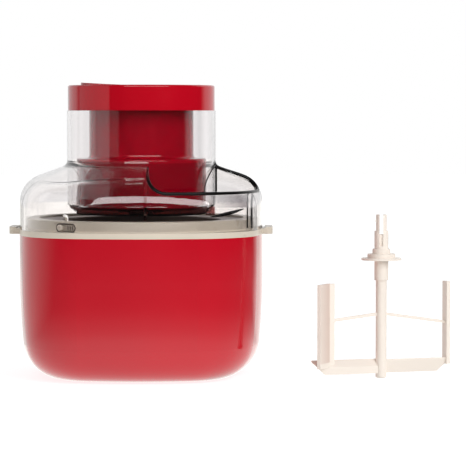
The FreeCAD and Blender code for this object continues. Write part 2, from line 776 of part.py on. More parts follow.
def make_bowl():
    """Freezer bowl: a liner with a flange, an outer shell, the sealed gel between them, and the seal."""
    liner = new_body("bowl_liner")
    spin(liner, "liner_turned", [
        ("0", DIMPLE_FLOOR),
        ("dimple_radius", DIMPLE_FLOOR),
        ("dimple_radius", BOWL_FLOOR),
        (LINER_LOW_R, BOWL_FLOOR),
        (LINER_TOP_R, FLANGE_TOP),
        (FLANGE_R, FLANGE_TOP),
        (FLANGE_R, FLANGE_UNDER),
        (f"{LINER_TOP_R} + liner_wall", FLANGE_UNDER),
        (f"{LINER_LOW_R} + liner_wall", f"{BOWL_FLOOR} - liner_wall"),
        ("dimple_radius + liner_wall", f"{BOWL_FLOOR} - liner_wall"),
        ("dimple_radius + liner_wall", f"{DIMPLE_FLOOR} - liner_wall"),
        ("0", f"{DIMPLE_FLOOR} - liner_wall"),
    ])
    soften(liner, "liner_floor_round", "bowl_round", round_edge(LINER_LOW_R, BOWL_FLOOR))
    soften(liner, "liner_under_round", "bowl_round + liner_wall",
           round_edge(f"{LINER_LOW_R} + liner_wall", f"{BOWL_FLOOR} - liner_wall"))
    soften(liner, "liner_mouth_round", "mouth_round", round_edge(LINER_TOP_R, FLANGE_TOP))
    keep(liner, "bowl_liner")

    shell_bore = f"{BOWL_R} - shell_wall"
    shell_floor = f"{SHELL_BASE} + shell_wall"
    shell = turned("bowl_shell", [
        ("plug_radius", SHELL_BASE),
        (BOWL_R, SHELL_BASE),
        (BOWL_R, FLANGE_UNDER),
        (shell_bore, FLANGE_UNDER),
        (shell_bore, shell_floor),
        ("plug_radius", shell_floor),
    ])
    soften(shell, "shell_base_round", "shell_round", round_edge(BOWL_R, SHELL_BASE))
    soften(shell, "shell_floor_round", "shell_round - shell_wall", round_edge(shell_bore, shell_floor))

    gel_low = f"{shell_floor} + gel_gap"
    gel_out = f"{shell_bore} - gel_gap"
    gel_in = "liner_wall + gel_gap"
    fill = f"{FLANGE_UNDER} - gel_headroom"
    draft = f"bowl_draft * ({fill} - ({BOWL_FLOOR})) / ({FLANGE_TOP} - ({BOWL_FLOOR}))"
    gel = turned("coolant_gel", [
        ("0", gel_low),
        (gel_out, gel_low),
        (gel_out, fill),
        (f"{LINER_LOW_R} + {draft} + {gel_in}", fill),
        (f"{LINER_LOW_R} + {gel_in}", f"{BOWL_FLOOR} - liner_wall - gel_gap"),
        ("dimple_radius + liner_wall + gel_gap", f"{BOWL_FLOOR} - liner_wall - gel_gap"),
        ("dimple_radius + liner_wall + gel_gap", f"{DIMPLE_FLOOR} - liner_wall - gel_gap"),
        ("0", f"{DIMPLE_FLOOR} - liner_wall - gel_gap"),
    ])
    soften(gel, "gel_base_round", "shell_round - shell_wall", round_edge(gel_out, gel_low))

    turned("fill_plug", [
        ("0", f"{SHELL_BASE} - plug_head_height"),
        ("plug_head", f"{SHELL_BASE} - plug_head_height"),
        ("plug_head", SHELL_BASE),
        ("plug_radius - plug_clear", SHELL_BASE),
        ("plug_radius - plug_clear", shell_floor),
        ("0", shell_floor),
    ])
    tube("rim_seal", f"{RIM_HOLE_R} + seal_inset", f"{FLANGE_R} - seal_inset", LEDGE, FLANGE_UNDER)


def make_dome(name, inset, drop, edge_round):
    """The lid's closed form below the neck: the plan shape under a shallow cone, its edge rounded.

    The cone falls away from the neck at the shoulder's slope, and drop lowers it.
    """
    body = new_body(name)
    top = f"{SHOULDER_TOP} - ({drop})"
    pad(body, f"{name}_block", plan_shape(body, f"{name}_plan", LIP_TOP, inset), f"shoulder_rise - ({drop})")
    spin_cut(body, f"{name}_cone", [
        ("neck_radius", top),
        (FAR, f"{top} - ({FAR} - neck_radius) * tan(shoulder_slope)"),
        (FAR, f"{top} + lid_wall"),
        ("neck_radius", f"{top} + lid_wall"),
    ])
    lowest = val(LIP_TOP) + CLOSE
    nearest = val(f"body_half - ({inset})") - CLOSE

    def wall_top(edge):
        far_out = all(math.hypot(v.X, v.Y) > nearest for v in edge.Vertexes)
        return far_out and edge.BoundBox.ZMin > lowest
    soften(body, f"{name}_shoulder_round", edge_round, wall_top)
    return body


def make_spout_tool():
    """What the pouring spout takes away: the front right quarter of the shoulder, round the neck.

    Seen from the front and from the right it has the same outline, with a round lower corner.
    """
    top = f"{SHOULDER_TOP} + neck_fillet"
    sides = []
    for name, role, sign in (("spout_front", "XZ_Plane", ""), ("spout_side", "YZ_Plane", "-")):
        body = new_body(name)
        bend = f"{sign}spout_round" if sign else "spout_round"
        sketch = outline(body, f"{name}_shape", role, [
            (f"{sign}spout_edge", top),
            (f"{sign}spout_edge", f"{SILL} + spout_round", bend),
            (f"{sign}(spout_edge + spout_round)", SILL),
            (f"{sign}({FAR})", SILL),
            (f"{sign}({FAR})", top),
        ])
        pad(body, f"{name}_block", sketch, FAR)
        sides.append(body)
    both = boolean("Common", "spout_quarter", *sides)
    core = doc.addObject("Part::Cylinder", "spout_core")
    core.setExpression("Radius", ex("neck_radius"))
    core.setExpression("Height", ex(top))
    return boolean("Cut", "spout_tool", both, core)


def make_lid():
    """Clear lid: dome and neck outside, the motor well hanging inside, chute walls beside the spout."""
    outer = make_dome("lid_outer", "0", "0", "shoulder_round")
    neck = circle(outer, "neck_shape", LIP_TOP, "neck_radius")
    pad(outer, "neck", neck, "lid_height")
    soften(outer, "neck_base_round", "neck_fillet", round_edge("neck_radius", SHOULDER_TOP))
    inner_chamfer = "well_chamfer - well_floor"
    spin_cut(outer, "well_bore", [
        ("0", LIP_TOP),
        ("well_hole", LIP_TOP),
        ("well_hole", WELL_FLOOR),
        (f"{NECK_BORE} - ({inner_chamfer})", WELL_FLOOR),
        (NECK_BORE, f"{WELL_FLOOR} + {inner_chamfer}"),
        (NECK_BORE, NECK_TOP),
        ("0", NECK_TOP),
    ])
    drop = "lid_wall / cos(shoulder_slope)"
    cavity = make_dome("lid_cavity", "lid_wall", drop, "shoulder_round - lid_wall")
    spin_cut(cavity, "well_outside", [
        ("0", WELL_UNDER),
        ("neck_radius - well_chamfer", WELL_UNDER),
        ("neck_radius", f"{WELL_UNDER} + well_chamfer"),
        ("neck_radius", SHOULDER_TOP),
        ("0", SHOULDER_TOP),
    ])
    chute_foot = f"{BAND_TOP} + baffle_clear"
    chute_inner = "spout_edge - baffle_wall"
    start = "neck_radius - well_chamfer"
    front = rectangle(cavity, "front_chute_shape", chute_foot,
                      chute_inner, "spout_edge", f"-({FAR})", f"-({start})")
    pocket(cavity, "front_chute", front, f"{SHOULDER_TOP} - ({chute_foot})", up=True)
    side = rectangle(cavity, "side_chute_shape", chute_foot,
                     start, FAR, "-spout_edge", f"-({chute_inner})")
    pocket(cavity, "side_chute", side, f"{SHOULDER_TOP} - ({chute_foot})", up=True)
    hollow = boolean("Cut", "lid_hollow", outer, cavity)
    return keep(boolean("Cut", "clear_lid", hollow, make_spout_tool()), "clear_lid")


def make_cap():
    """Red cap: skirt on the neck's rim, a sunk tub for the rocker, four screw bosses, a gland hole."""
    body = new_body("top_cap")
    spin(body, "cap_turned", [
        (CAP_BORE, NECK_TOP),
        (CAP_R, NECK_TOP),
        (CAP_R, CAP_TOP),
        ("0", CAP_TOP),
        ("0", CAP_UNDER),
        (CAP_BORE, CAP_UNDER),
    ])
    soften(body, "cap_edge_round", "cap_edge", round_edge(CAP_R, CAP_TOP))
    tub_half = f"{ROCKER_HALF} + rocker_clear"
    tub_half_width = "rocker_half_width + rocker_clear"
    tub = stadium(body, "tub_shape", TUB_UNDER, f"{tub_half} + tub_wall", f"{tub_half_width} + tub_wall")
    pad(body, "tub", tub, f"{CAP_UNDER} - ({TUB_UNDER})")
    sunk = stadium(body, "tub_hollow_shape", TUB_FLOOR, tub_half, tub_half_width)
    pocket(body, "tub_hollow", sunk, f"{CAP_TOP} - ({TUB_FLOOR})", up=True)
    boss = pad(body, "boss", circle(body, "boss_shape", HOUSING_TOP, "cap_boss", *ring_spot(CAP_BOSS_CIRCLE)),
               f"{CAP_UNDER} - ({HOUSING_TOP})")
    ring_copies(body, "bosses", [boss], SCREWS_PER_RING)
    hole = pocket(body, "boss_hole",
                  circle(body, "boss_hole_shape", HOUSING_TOP, "screw_radius", *ring_spot(CAP_BOSS_CIRCLE)),
                  "cap_screw_bite", up=True)
    ring_copies(body, "boss_holes", [hole], SCREWS_PER_RING)
    axle = circle(body, "pin_hole_shape", "0", "pin_radius", "0", PIN_LEVEL, "XZ_Plane")
    pocket(body, "pin_hole", axle, f"2 * ({tub_half_width} + tub_wall)", both_ways=True)
    plunger = circle(body, "plunger_hole_shape", TUB_UNDER, "plunger_radius + gland_clear", "-switch_offset")
    pocket(body, "plunger_hole", plunger, "tub_wall", up=True)
    gland = circle(body, "gland_hole_shape", f"-({CAP_BORE} - cap_wall)", "gland_sleeve", "0", GLAND_LEVEL,
                   "XZ_Plane")
    pocket(body, "gland_hole", gland, "3 * cap_wall")
    return keep(body, "top_cap")


def make_rocker():
    """Wide dished rocker with a hub on the pin, drawn about the pin and tilted to its resting side."""
    body = new_body("power_rocker")
    plan = stadium(body, "rocker_shape", "-rocker_skirt", ROCKER_HALF, "rocker_half_width")
    pad(body, "rocker_block", plan, "rocker_skirt + rocker_rise")
    hub = circle(body, "rocker_hub_shape", "0", "rocker_hub", role="XZ_Plane")
    pad(body, "rocker_hub_bar", hub, "2 * rocker_half_width - rocker_hub", both_ways=True)
    dish_radius = f"(({ROCKER_HALF}) ^ 2 + rocker_dish ^ 2) / (2 * rocker_dish)"
    dish = [
        (f"-({ROCKER_HALF})", "rocker_rise", dish_radius),
        (ROCKER_HALF, "rocker_rise"),
        (ROCKER_HALF, "rocker_rise + rocker_hub"),
        (f"-({ROCKER_HALF})", "rocker_rise + rocker_hub"),
    ]
    hollow = outline(body, "dish_shape", "XZ_Plane", dish)
    pocket(body, "dish", hollow, "2 * rocker_half_width", both_ways=True)
    rim_low = val("rocker_rise - rocker_dish") - CLOSE
    soften(body, "rocker_edge_round", "rocker_edge", lambda edge: edge.BoundBox.ZMin > rim_low)
    bore = circle(body, "rocker_bore_shape", "0", "pin_radius + running_gap", role="XZ_Plane")
    pocket(body, "rocker_bore", bore, "2 * rocker_half_width", both_ways=True)
    body.Placement = Placement(Vector(0, 0, val(PIN_LEVEL)), Rotation(Vector(0, 1, 0), val("rocker_tilt")))
    return keep(body, "power_rocker")


def make_switch():
    """The pin that the rocker turns on, and the switch block under the tub with its short plunger."""
    half = val("rocker_half_width + rocker_clear + tub_wall")
    pin = doc.addObject("Part::Cylinder", "rocker_pin")
    pin.setExpression("Radius", ex("pin_radius"))
    pin.setExpression("Height", ex("2 * (rocker_half_width + rocker_clear + tub_wall)"))
    pin.Placement = Placement(Vector(0, half, val(PIN_LEVEL)), Rotation(Vector(1, 0, 0), 90))
    keep(pin, "rocker_pin")
    body = new_body("switch_block")
    plan = rectangle(body, "switch_shape", f"{TUB_UNDER} - switch_height",
                     "-switch_offset - switch_half_length", "-switch_offset + switch_half_length",
                     "-switch_half_width", "switch_half_width")
    pad(body, "switch_case", plan, "switch_height")
    root = f"{TUB_UNDER} - switch_half_width"
    tip = circle(body, "plunger_shape", root, "plunger_radius", "-switch_offset")
    top = f"{PIN_LEVEL} - rocker_skirt - plunger_gap"
    pad(body, "plunger", tip, f"{top} - ({root})")
    keep(body, "switch_block")


def make_gland():
    """Rubber grommet in the back of the cap's skirt, turned about Y and flanged on both sides of the wall."""
    body = new_body("cord_gland")
    inside = f"{CAP_BORE} - gland_clear"
    outside = CAP_R
    corners = [
        ("gland_bore", f"{inside} - gland_lip"),
        ("gland_flange", f"{inside} - gland_lip"),
        ("gland_flange", inside),
        ("gland_sleeve", inside),
        ("gland_sleeve", outside),
        ("gland_flange", outside),
        ("gland_flange", f"{outside} + gland_lip"),
        ("gland_bore", f"{outside} + gland_lip"),
    ]
    spin(body, "gland_turned", corners)
    body.Placement = Placement(Vector(0, 0, val(GLAND_LEVEL)), Rotation(Vector(1, 0, 0), -90))
    return keep(body, "cord_gland")


def make_housing():
    """Red motor housing: top lip in the cap, upper cylinder, and a foot flange on the drum."""
    body = turned("motor_housing", [
        (UPPER_BORE, STEP_TOP),
        (DRUM_R, STEP_TOP),
        (DRUM_R, f"{STEP_TOP} + housing_foot"),
        (UPPER_R, f"{STEP_TOP} + housing_foot"),
        (UPPER_R, NECK_TOP),
        (FLANGE_LIP_R, NECK_TOP),
        (FLANGE_LIP_R, HOUSING_TOP),
        (UPPER_BORE, HOUSING_TOP),
    ])
    soften(body, "housing_foot_round", "housing_fillet", round_edge(UPPER_R, f"{STEP_TOP} + housing_foot"))
    soften(body, "housing_edge_round", "housing_fillet / 2", round_edge(DRUM_R, f"{STEP_TOP} + housing_foot"))
    bite = pocket(body, "foot_hole",
                  circle(body, "foot_hole_shape", STEP_TOP, "screw_radius", *ring_spot(PILLAR_CIRCLE)),
                  "screw_bite", up=True)
    ring_copies(body, "foot_holes", [bite], SCREWS_PER_RING)
    lip = pocket(body, "lip_hole",
                 circle(body, "lip_hole_shape", NECK_TOP, "screw_radius + screw_clear",
                        *ring_spot(CAP_BOSS_CIRCLE)), "flange_lip", up=True)
    ring_copies(body, "lip_holes", [lip], SCREWS_PER_RING)
    sink = pocket(body, "lip_sink",
                  circle(body, "lip_sink_shape", NECK_TOP, "screw_head + head_clear",
                         *ring_spot(CAP_BOSS_CIRCLE)), "screw_head_height", up=True)
    ring_copies(body, "lip_sinks", [sink], SCREWS_PER_RING)
    return body


def make_drum():
    """Red drum under the housing: it holds the gears, and its floor boss carries the drive bush."""
    boss = f"{BUSH_R} + boss_wall"
    body = turned("gear_drum", [
        (BUSH_R, DRUM_BASE),
        (DRUM_R, DRUM_BASE),
        (DRUM_R, STEP_TOP),
        (DRUM_BORE, STEP_TOP),
        (DRUM_BORE, DRUM_FLOOR),
        (boss, DRUM_FLOOR),
        (boss, BUSH_TOP),
        (BUSH_R, BUSH_TOP),
    ])
    soften(body, "drum_edge_round", "drum_edge", round_edge(DRUM_R, DRUM_BASE))
    hole = pocket(body, "drum_hole",
                  circle(body, "drum_hole_shape", DRUM_BASE, "screw_radius + screw_clear",
                         *ring_spot(PILLAR_CIRCLE)), "drum_floor", up=True)
    ring_copies(body, "drum_holes", [hole], SCREWS_PER_RING)
    sink = pocket(body, "drum_sink",
                  circle(body, "drum_sink_shape", DRUM_BASE, "screw_head + head_clear",
                         *ring_spot(PILLAR_CIRCLE)), "screw_head_height", up=True)
    ring_copies(body, "drum_sinks", [sink], SCREWS_PER_RING)
    seat = circle(body, "idler_seat_shape", DRUM_FLOOR, "shaft_radius", GEAR_OFFSET)
    pocket(body, "idler_seat_hole", seat, "idler_seat")
    return body


def make_gear_frame():
    """Steel plate over the gears, on four pillars, with the pin that the middle gear turns on."""
    plate = new_body("gear_plate")
    pad(plate, "plate", circle(plate, "plate_shape", PLATE_UNDER, PLATE_R), "plate_thickness")
    centre = circle(plate, "plate_bush_shape", PLATE_UNDER, "shaft_bush")
    pocket(plate, "plate_bush_hole", centre, "plate_thickness", up=True)
    seat = circle(plate, "plate_pin_shape", PLATE_UNDER, "shaft_radius", GEAR_OFFSET)
    pocket(plate, "plate_pin_hole", seat, "plate_thickness", up=True)
    hole = pocket(plate, "plate_hole",
                  circle(plate, "plate_hole_shape", PLATE_UNDER, "screw_radius + screw_clear",
                         *ring_spot(PILLAR_CIRCLE)), "plate_thickness", up=True)
    ring_copies(plate, "plate_holes", [hole], SCREWS_PER_RING)
    keep(plate, "gear_plate")

    length = val(f"{PLATE_UNDER} - ({DRUM_FLOOR})")
    low = Vector(0, 0, val(DRUM_FLOOR))
    pillar = Part.makeCylinder(val("pillar_radius"), length, low)
    pillar = pillar.cut(Part.makeCylinder(val("screw_radius + screw_clear"), length, low))
    group("gear_pillars", around(pillar, PILLAR_CIRCLE))

    pin = doc.addObject("Part::Cylinder", "idler_pin")
    pin.setExpression("Radius", ex("shaft_radius"))
    pin.setExpression("Height", ex(f"{STEP_TOP} - ({DRUM_FLOOR}) + idler_seat"))
    pin.Placement = Placement(Vector(val(GEAR_OFFSET), 0, val(f"{DRUM_FLOOR} - idler_seat")), Rotation())
    keep(pin, "idler_pin")


def screw(head_level, tip_level):
    """A plain screw pointing up, its head let into the face below it."""
    low = val(head_level)
    head = Part.makeCylinder(val("screw_head"), val("screw_head_height"), Vector(0, 0, low))
    shank = Part.makeCylinder(val("screw_radius"), val(tip_level) - low, Vector(0, 0, low))
    return head.fuse(shank).removeSplitter()


def make_screws():
    """Long screws that clamp drum, pillars and plate to the housing, and short ones up into the cap."""
    group("drum_screws", around(screw(DRUM_BASE, f"{STEP_TOP} + screw_bite"), PILLAR_CIRCLE))
    group("cap_screws", around(screw(NECK_TOP, f"{HOUSING_TOP} + cap_screw_bite"), CAP_BOSS_CIRCLE))


def make_motor():
    """Synchronous motor on the gear plate: can, coil ring, two bushes, and the magnet rotor on its shaft."""
    can = turned("motor_can", [
        (f"{CAN_R} - can_wall", STEP_TOP),
        (CAN_R, STEP_TOP),
        (CAN_R, CAN_TOP),
        ("shaft_bush", CAN_TOP),
        ("shaft_bush", f"{CAN_TOP} - can_wall"),
        (f"{CAN_R} - can_wall", f"{CAN_TOP} - can_wall"),
    ])
    soften(can, "can_edge_round", "can_wall / 2", round_edge(CAN_R, CAN_TOP))
    coil_bore = "rotor_radius + air_gap"
    coil_out = f"{CAN_R} - can_wall - coil_clear"
    coil_top = f"{CAN_TOP} - can_wall - coil_headroom"
    coil = tube("stator_coil", coil_bore, coil_out, STEP_TOP, coil_top)
    soften(coil, "coil_top_round", "coil_round", round_edge(coil_out, coil_top))
    bushes = []
    upper_low = f"{CAN_TOP} - can_wall - shaft_bush_rise"
    for low, high in ((PLATE_UNDER, f"{STEP_TOP} + shaft_bush_rise"), (upper_low, CAN_TOP)):
        length = val(f"{high} - ({low})")
        foot = Vector(0, 0, val(low))
        bush = Part.makeCylinder(val("shaft_bush"), length, foot)
        bushes.append(bush.cut(Part.makeCylinder(val("shaft_radius + running_gap"), length, foot)))
    group("shaft_bushes", bushes)
    rod("rotor_shaft", "shaft_radius", SHAFT_LOW, CAN_TOP)
    tube("rotor_magnet", "shaft_radius", "rotor_radius", f"{STEP_TOP} + rotor_foot",
         f"{CAN_TOP} - can_wall - rotor_headroom")


def gear_shape(teeth, width, level, bore, half_pitch=False):
    """An involute spur gear on the Z axis, one tooth (or one gap) facing +X.

    The flank at radius r stands off the tooth's middle by the half tooth at the pitch circle plus
    inv(20 degrees) less inv(acos(base / r)), where inv(a) = tan(a) - a.
    """
    pitch = val("gear_module") * teeth / 2
    base = pitch * math.cos(PRESSURE_ANGLE)
    tip = pitch + val("gear_module")
    root = pitch - TOOTH_DEDENDUM * val("gear_module")
    half_tooth = math.pi / (2 * teeth) - val("tooth_slack") / (2 * pitch)

    def involute(angle):
        return math.tan(angle) - angle

    def stand_off(radius):
        return half_tooth + involute(PRESSURE_ANGLE) - involute(math.acos(min(base / radius, 1.0)))

    def spot(radius, angle):
        return Vector(radius * math.cos(angle), radius * math.sin(angle), 0)

    flank_low = max(base, root)
    flank = [flank_low, (flank_low + tip) / 2, tip]
    edges = []
    pitch_turn = 2 * math.pi / teeth
    for tooth in range(teeth):
        middle = (tooth + (0.5 if half_pitch else 0.0)) * pitch_turn
        rising = [spot(r, middle - stand_off(r)) for r in flank]
        falling = [spot(r, middle + stand_off(r)) for r in reversed(flank)]
        foot = stand_off(flank_low)
        next_foot = middle + pitch_turn - foot
        if root < base - CLOSE:
            edges.append(Part.LineSegment(spot(root, middle - foot), rising[0]))
        edges.append(Part.Arc(*rising))
        edges.append(Part.Arc(rising[-1], spot(tip, middle), falling[0]))
        edges.append(Part.Arc(*falling))
        if root < base - CLOSE:
            edges.append(Part.LineSegment(falling[-1], spot(root, middle + foot)))
        edges.append(Part.Arc(spot(root, middle + foot), spot(root, middle + pitch_turn / 2),
                              spot(root, next_foot)))
    wire = Part.Wire([edge.toShape() for edge in edges])
    solid = Part.Face(wire).extrude(Vector(0, 0, val(width)))
    solid.translate(Vector(0, 0, val(level)))
    return solid.cut(Part.makeCylinder(val(bore), val(width), Vector(0, 0, val(level))))


def make_gears():
    """Pinion on the rotor, a middle gear of two sizes beside it, and the drive gear back on the centre."""
    pinion_teeth = int(val("pinion_teeth"))
    wheel_teeth = int(val("wheel_teeth"))
    pinion = doc.addObject("Part::Feature", "motor_pinion")
    pinion.Shape = gear_shape(pinion_teeth, "wheel_width", WHEEL_LOW, "shaft_radius")
    keep(pinion, "motor_pinion")

    bore = "shaft_radius + running_gap"
    small_low = f"{WASHER_TOP} - washer_thickness / 2"
    wheel = gear_shape(wheel_teeth, "wheel_width", WHEEL_LOW, bore, half_pitch=True)
    small = gear_shape(pinion_teeth, f"{WHEEL_LOW} - ({small_low})", small_low, bore, half_pitch=True)
    low = Vector(0, 0, val(DRUM_FLOOR))
    length = val(f"{small_low} - ({DRUM_FLOOR})")
    hub = Part.makeCylinder(val("idler_hub"), length, low)
    hub = hub.cut(Part.makeCylinder(val(bore), length, low))
    idler = doc.addObject("Part::Feature", "reduction_gear")
    idler.Shape = wheel.fuse([small, hub]).removeSplitter()
    idler.Placement = Placement(Vector(val(GEAR_OFFSET), 0, 0), Rotation())
    keep(idler, "reduction_gear")

    drive = doc.addObject("Part::Feature", "drive_gear")
    drive.Shape = gear_shape(wheel_teeth, "drive_gear_width", WASHER_TOP, "hub_radius")
    keep(drive, "drive_gear")


def make_drive():
    """Drive socket under the drum, open below, with the cross web that turns the paddle's fork."""
    body = new_body("drive_socket")
    bore = "collar_radius + socket_clear"
    spin(body, "socket_turned", [
        (bore, SOCKET_MOUTH),
        ("hub_radius", SOCKET_MOUTH),
        ("hub_radius", SOCKET_TOP),
        ("0", SOCKET_TOP),
        ("0", SOCKET_END),
        (bore, SOCKET_END),
    ])
    half_web = "prong_slot / 2 - web_clear"
    web_low = f"{SOCKET_MOUTH} + slot_foot + fork_web + web_inset"
    web = rectangle(body, "web_shape", web_low, f"-({half_web})", half_web, f"-({bore})", bore)
    pad(body, "web", web, f"{SOCKET_END} - ({web_low})")
    keep(body, "drive_socket")
    tube("drive_bush", "hub_radius + running_gap", BUSH_R, DRUM_BASE, BUSH_TOP)
    washer_bore = "hub_radius + washer_clear"
    tube("thrust_washer", washer_bore, f"{washer_bore} + washer_width", BUSH_TOP, WASHER_TOP)


def make_paddle():
    """Moulded mixing paddle, drawn about its own stem and stood beside the machine.

    Stem with a stepped top and a forked drive end, two pitched floor scrapers, a winged wall scraper on
    one side, a flat one on the other, and two thin struts.
    """
    body = new_body("mixing_paddle")
    step_low = "disc_height + disc_thickness"
    prong_step = f"{step_low} + step_height"
    prong_shoulder = f"{FORK_ROOT} + prong_root"
    spin(body, "stem", [
        ("0", "0"),
        ("stem_radius - stem_foot", "0"),
        ("stem_radius", "stem_foot"),
        ("stem_radius", "stem_height"),
        ("collar_radius", "stem_height"),
        ("collar_radius", step_low),
        ("step_radius", step_low),
        ("step_radius", prong_step),
        ("prong_step_radius", prong_step),
        ("prong_step_radius", STEPS_TOP),
        ("collar_radius", STEPS_TOP),
        ("collar_radius", prong_shoulder),
        ("prong_radius", prong_shoulder),
        ("prong_radius", PADDLE_TOP),
        ("0", PADDLE_TOP),
    ])
    snap = circle(body, "snap_shape", "0", "snap_radius", "-(prong_radius - snap_radius / 2)",
                  f"{PADDLE_TOP} - snap_drop", "XZ_Plane")
    turn_sketch(snap, "-fork_turn")
    pad(body, "snap", snap, "snap_length", both_ways=True)
    slot_low = f"{FORK_ROOT} + slot_foot"
    slot = rectangle(body, "fork_shape", "0", "-prong_slot / 2", "prong_slot / 2",
                     slot_low, PADDLE_TOP, "XZ_Plane")
    turn_sketch(slot, "-fork_turn")
    pocket(body, "fork", slot, "4 * collar_radius", both_ways=True)
    web = rectangle(body, "fork_web_shape", "0", "-prong_slot / 2", "prong_slot / 2",
                    slot_low, f"{slot_low} + fork_web", "XZ_Plane")
    turn_sketch(web, "-fork_turn")
    pad(body, "fork_web", web, "2 * (collar_radius - fork_groove)", both_ways=True)
    make_floor_scrapers(body)
    make_wall_scrapers(body)
    spot = Vector(val(PADDLE_X), -val("stand_forward"), 0)
    body.Placement = Placement(spot, Rotation(UP, val("stand_turn")))
    return keep(body, "mixing_paddle")


def make_floor_scrapers(body):
    """Two bars from the stem, each a lower face with a skin that leans back over it, opposite ways round."""
    top = "bar_foot + bar_height"
    knee = "bar_foot + bar_face"
    section = [("-bar_front", "bar_foot"), ("bar_skin - bar_front", "bar_foot"),
               ("bar_back", f"{top} - bar_skin / 2"), ("bar_back", top),
               ("bar_back - bar_skin / 2", top), ("-bar_front", knee)]
    mirrored = [(f"-({y})", z) for y, z in section]
    for side, corners, left in (("left", section, True), ("right", mirrored, False)):
        sketch = outline(body, f"{side}_bar_shape", "YZ_Plane", corners)
        pad(body, f"{side}_bar", sketch, PADDLE_REACH, down=left)
    for side, sign in (("left", "-"), ("right", "")):
        corner = [(f"{sign}({PADDLE_REACH})", "bar_foot"),
                  (f"{sign}({PADDLE_REACH})", "bar_foot + bar_chamfer"),
                  (f"{sign}({PADDLE_REACH} - bar_chamfer)", "bar_foot")]
        sketch = outline(body, f"{side}_bar_corner", "XZ_Plane", corner)
        pocket(body, f"{side}_bar_trim", sketch, "4 * (bar_front + bar_back)", both_ways=True)


def make_wall_scrapers(body):
    """The winged blade, the flat blade, and the struts that stay them to the stem."""
    foot = "bar_foot + bar_face"
    half = "blade_wall / 2"
    inner = "blade_corner - blade_strip"
    wing = [
        (f"-({inner})", half),
        (f"-blade_corner - {half}", half),
        (f"-blade_corner - wing_run - {half}", f"-wing_swing + {half}"),
        (f"-blade_corner - wing_run + {half}", f"-wing_swing - {half}"),
        (f"-blade_corner + {half}", f"-{half}"),
        (f"-({inner})", f"-{half}"),
    ]
    blade = outline(body, "wing_shape", "XY_Plane", wing, foot)
    pad(body, "wing_blade", blade, f"blade_height - ({foot})")
    outer = f"{PADDLE_REACH} - blade_wall / 4"
    post = rectangle(body, "post_plan", foot, f"{outer} - post_wall", outer, "-post_half", "post_half")
    pad(body, "flat_blade", post, f"blade_height - ({foot})")
    for side, sign, reach, drop in (("left", "-", inner, "strut_drop"),
                                    ("right", "", f"{outer} - post_wall", "post_strut_drop")):
        lap = f"({reach} + {half})"
        strut = [(f"{sign}1 * stem_radius / 2", "strut_height - strut_half"),
                 (f"{sign}{lap}", f"strut_height - {drop} - strut_half"),
                 (f"{sign}{lap}", f"strut_height - {drop} + strut_half"),
                 (f"{sign}1 * stem_radius / 2", "strut_height + strut_half")]
        sketch = outline(body, f"{side}_strut_shape", "XZ_Plane", strut)
        pad(body, f"{side}_strut", sketch, "2 * strut_half", both_ways=True)


def make_splash_disc():
    """Thin disc on the paddle's collar, under its first step."""
    disc = tube("splash_disc", "collar_radius + disc_clear", "disc_radius", "disc_height",
                "disc_height + disc_thickness")
    disc.Placement = Placement(Vector(val(PADDLE_X), -val("stand_forward"), 0), Rotation())
    return disc


def check_document():
    """Stop if any object failed to recompute, or a piece has no sound shape."""
    for item in doc.Objects:
        if "Invalid" in item.State or "Error" in item.State:
            raise RuntimeError(f"{item.Name} did not recompute: {item.State}")
    for piece in pieces:
        if piece.Shape.isNull() or not piece.Shape.isValid() or not piece.Shape.Solids:
            raise RuntimeError(f"{piece.Label} has no valid solid")


make_casing()
make_base_pad()
make_rim_ring()
make_bowl()
make_lid()
make_cap()
make_rocker()
make_switch()
make_gland()
make_housing()
make_drum()
make_gear_frame()
make_screws()
make_motor()
make_gears()
make_drive()
make_paddle()
make_splash_disc()
doc.recompute()
check_document()

os.makedirs("parts", exist_ok=True)
for piece in pieces:
    piece.Shape.exportStep(f"parts/{piece.Label}.step")
    print(piece.Label, len(piece.Shape.Solids), round(piece.Shape.Volume, 1))
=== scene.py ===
import math

import bpy
import numpy as np
from bpy.props import FloatProperty, FloatVectorProperty, PointerProperty
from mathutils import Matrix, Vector


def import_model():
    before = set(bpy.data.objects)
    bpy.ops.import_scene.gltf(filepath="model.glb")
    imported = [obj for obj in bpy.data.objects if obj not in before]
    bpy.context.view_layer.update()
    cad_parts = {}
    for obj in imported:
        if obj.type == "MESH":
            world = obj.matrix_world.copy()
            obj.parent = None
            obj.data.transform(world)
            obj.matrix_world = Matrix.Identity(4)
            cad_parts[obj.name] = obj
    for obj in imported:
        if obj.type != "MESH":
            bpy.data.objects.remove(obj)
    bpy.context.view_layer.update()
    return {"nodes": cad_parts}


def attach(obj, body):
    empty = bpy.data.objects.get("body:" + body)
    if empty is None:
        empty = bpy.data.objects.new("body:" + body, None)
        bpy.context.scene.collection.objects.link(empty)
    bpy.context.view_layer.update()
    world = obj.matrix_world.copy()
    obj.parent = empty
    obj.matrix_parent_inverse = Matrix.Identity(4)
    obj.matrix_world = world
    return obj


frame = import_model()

bl_info = {
    "name": "Ice Cream Maker",
    "version": (1, 0, 0),
    "blender": (4, 5, 0),
    "location": "View3D > Sidebar > Ice Cream Maker",
    "description": "Finishes the ice cream maker's frame with its plastics, metals and studio",
    "category": "Object",
}

NODES = frame["nodes"]
MILLIMETRE = 0.001
# How soon an oval's end circles slide along as the direction passes upright
OVAL_SLIDE = 4.0
ACROSS = np.array([1.0, 0.0, 0.0])
UP = np.array([0.0, 0.0, 1.0])

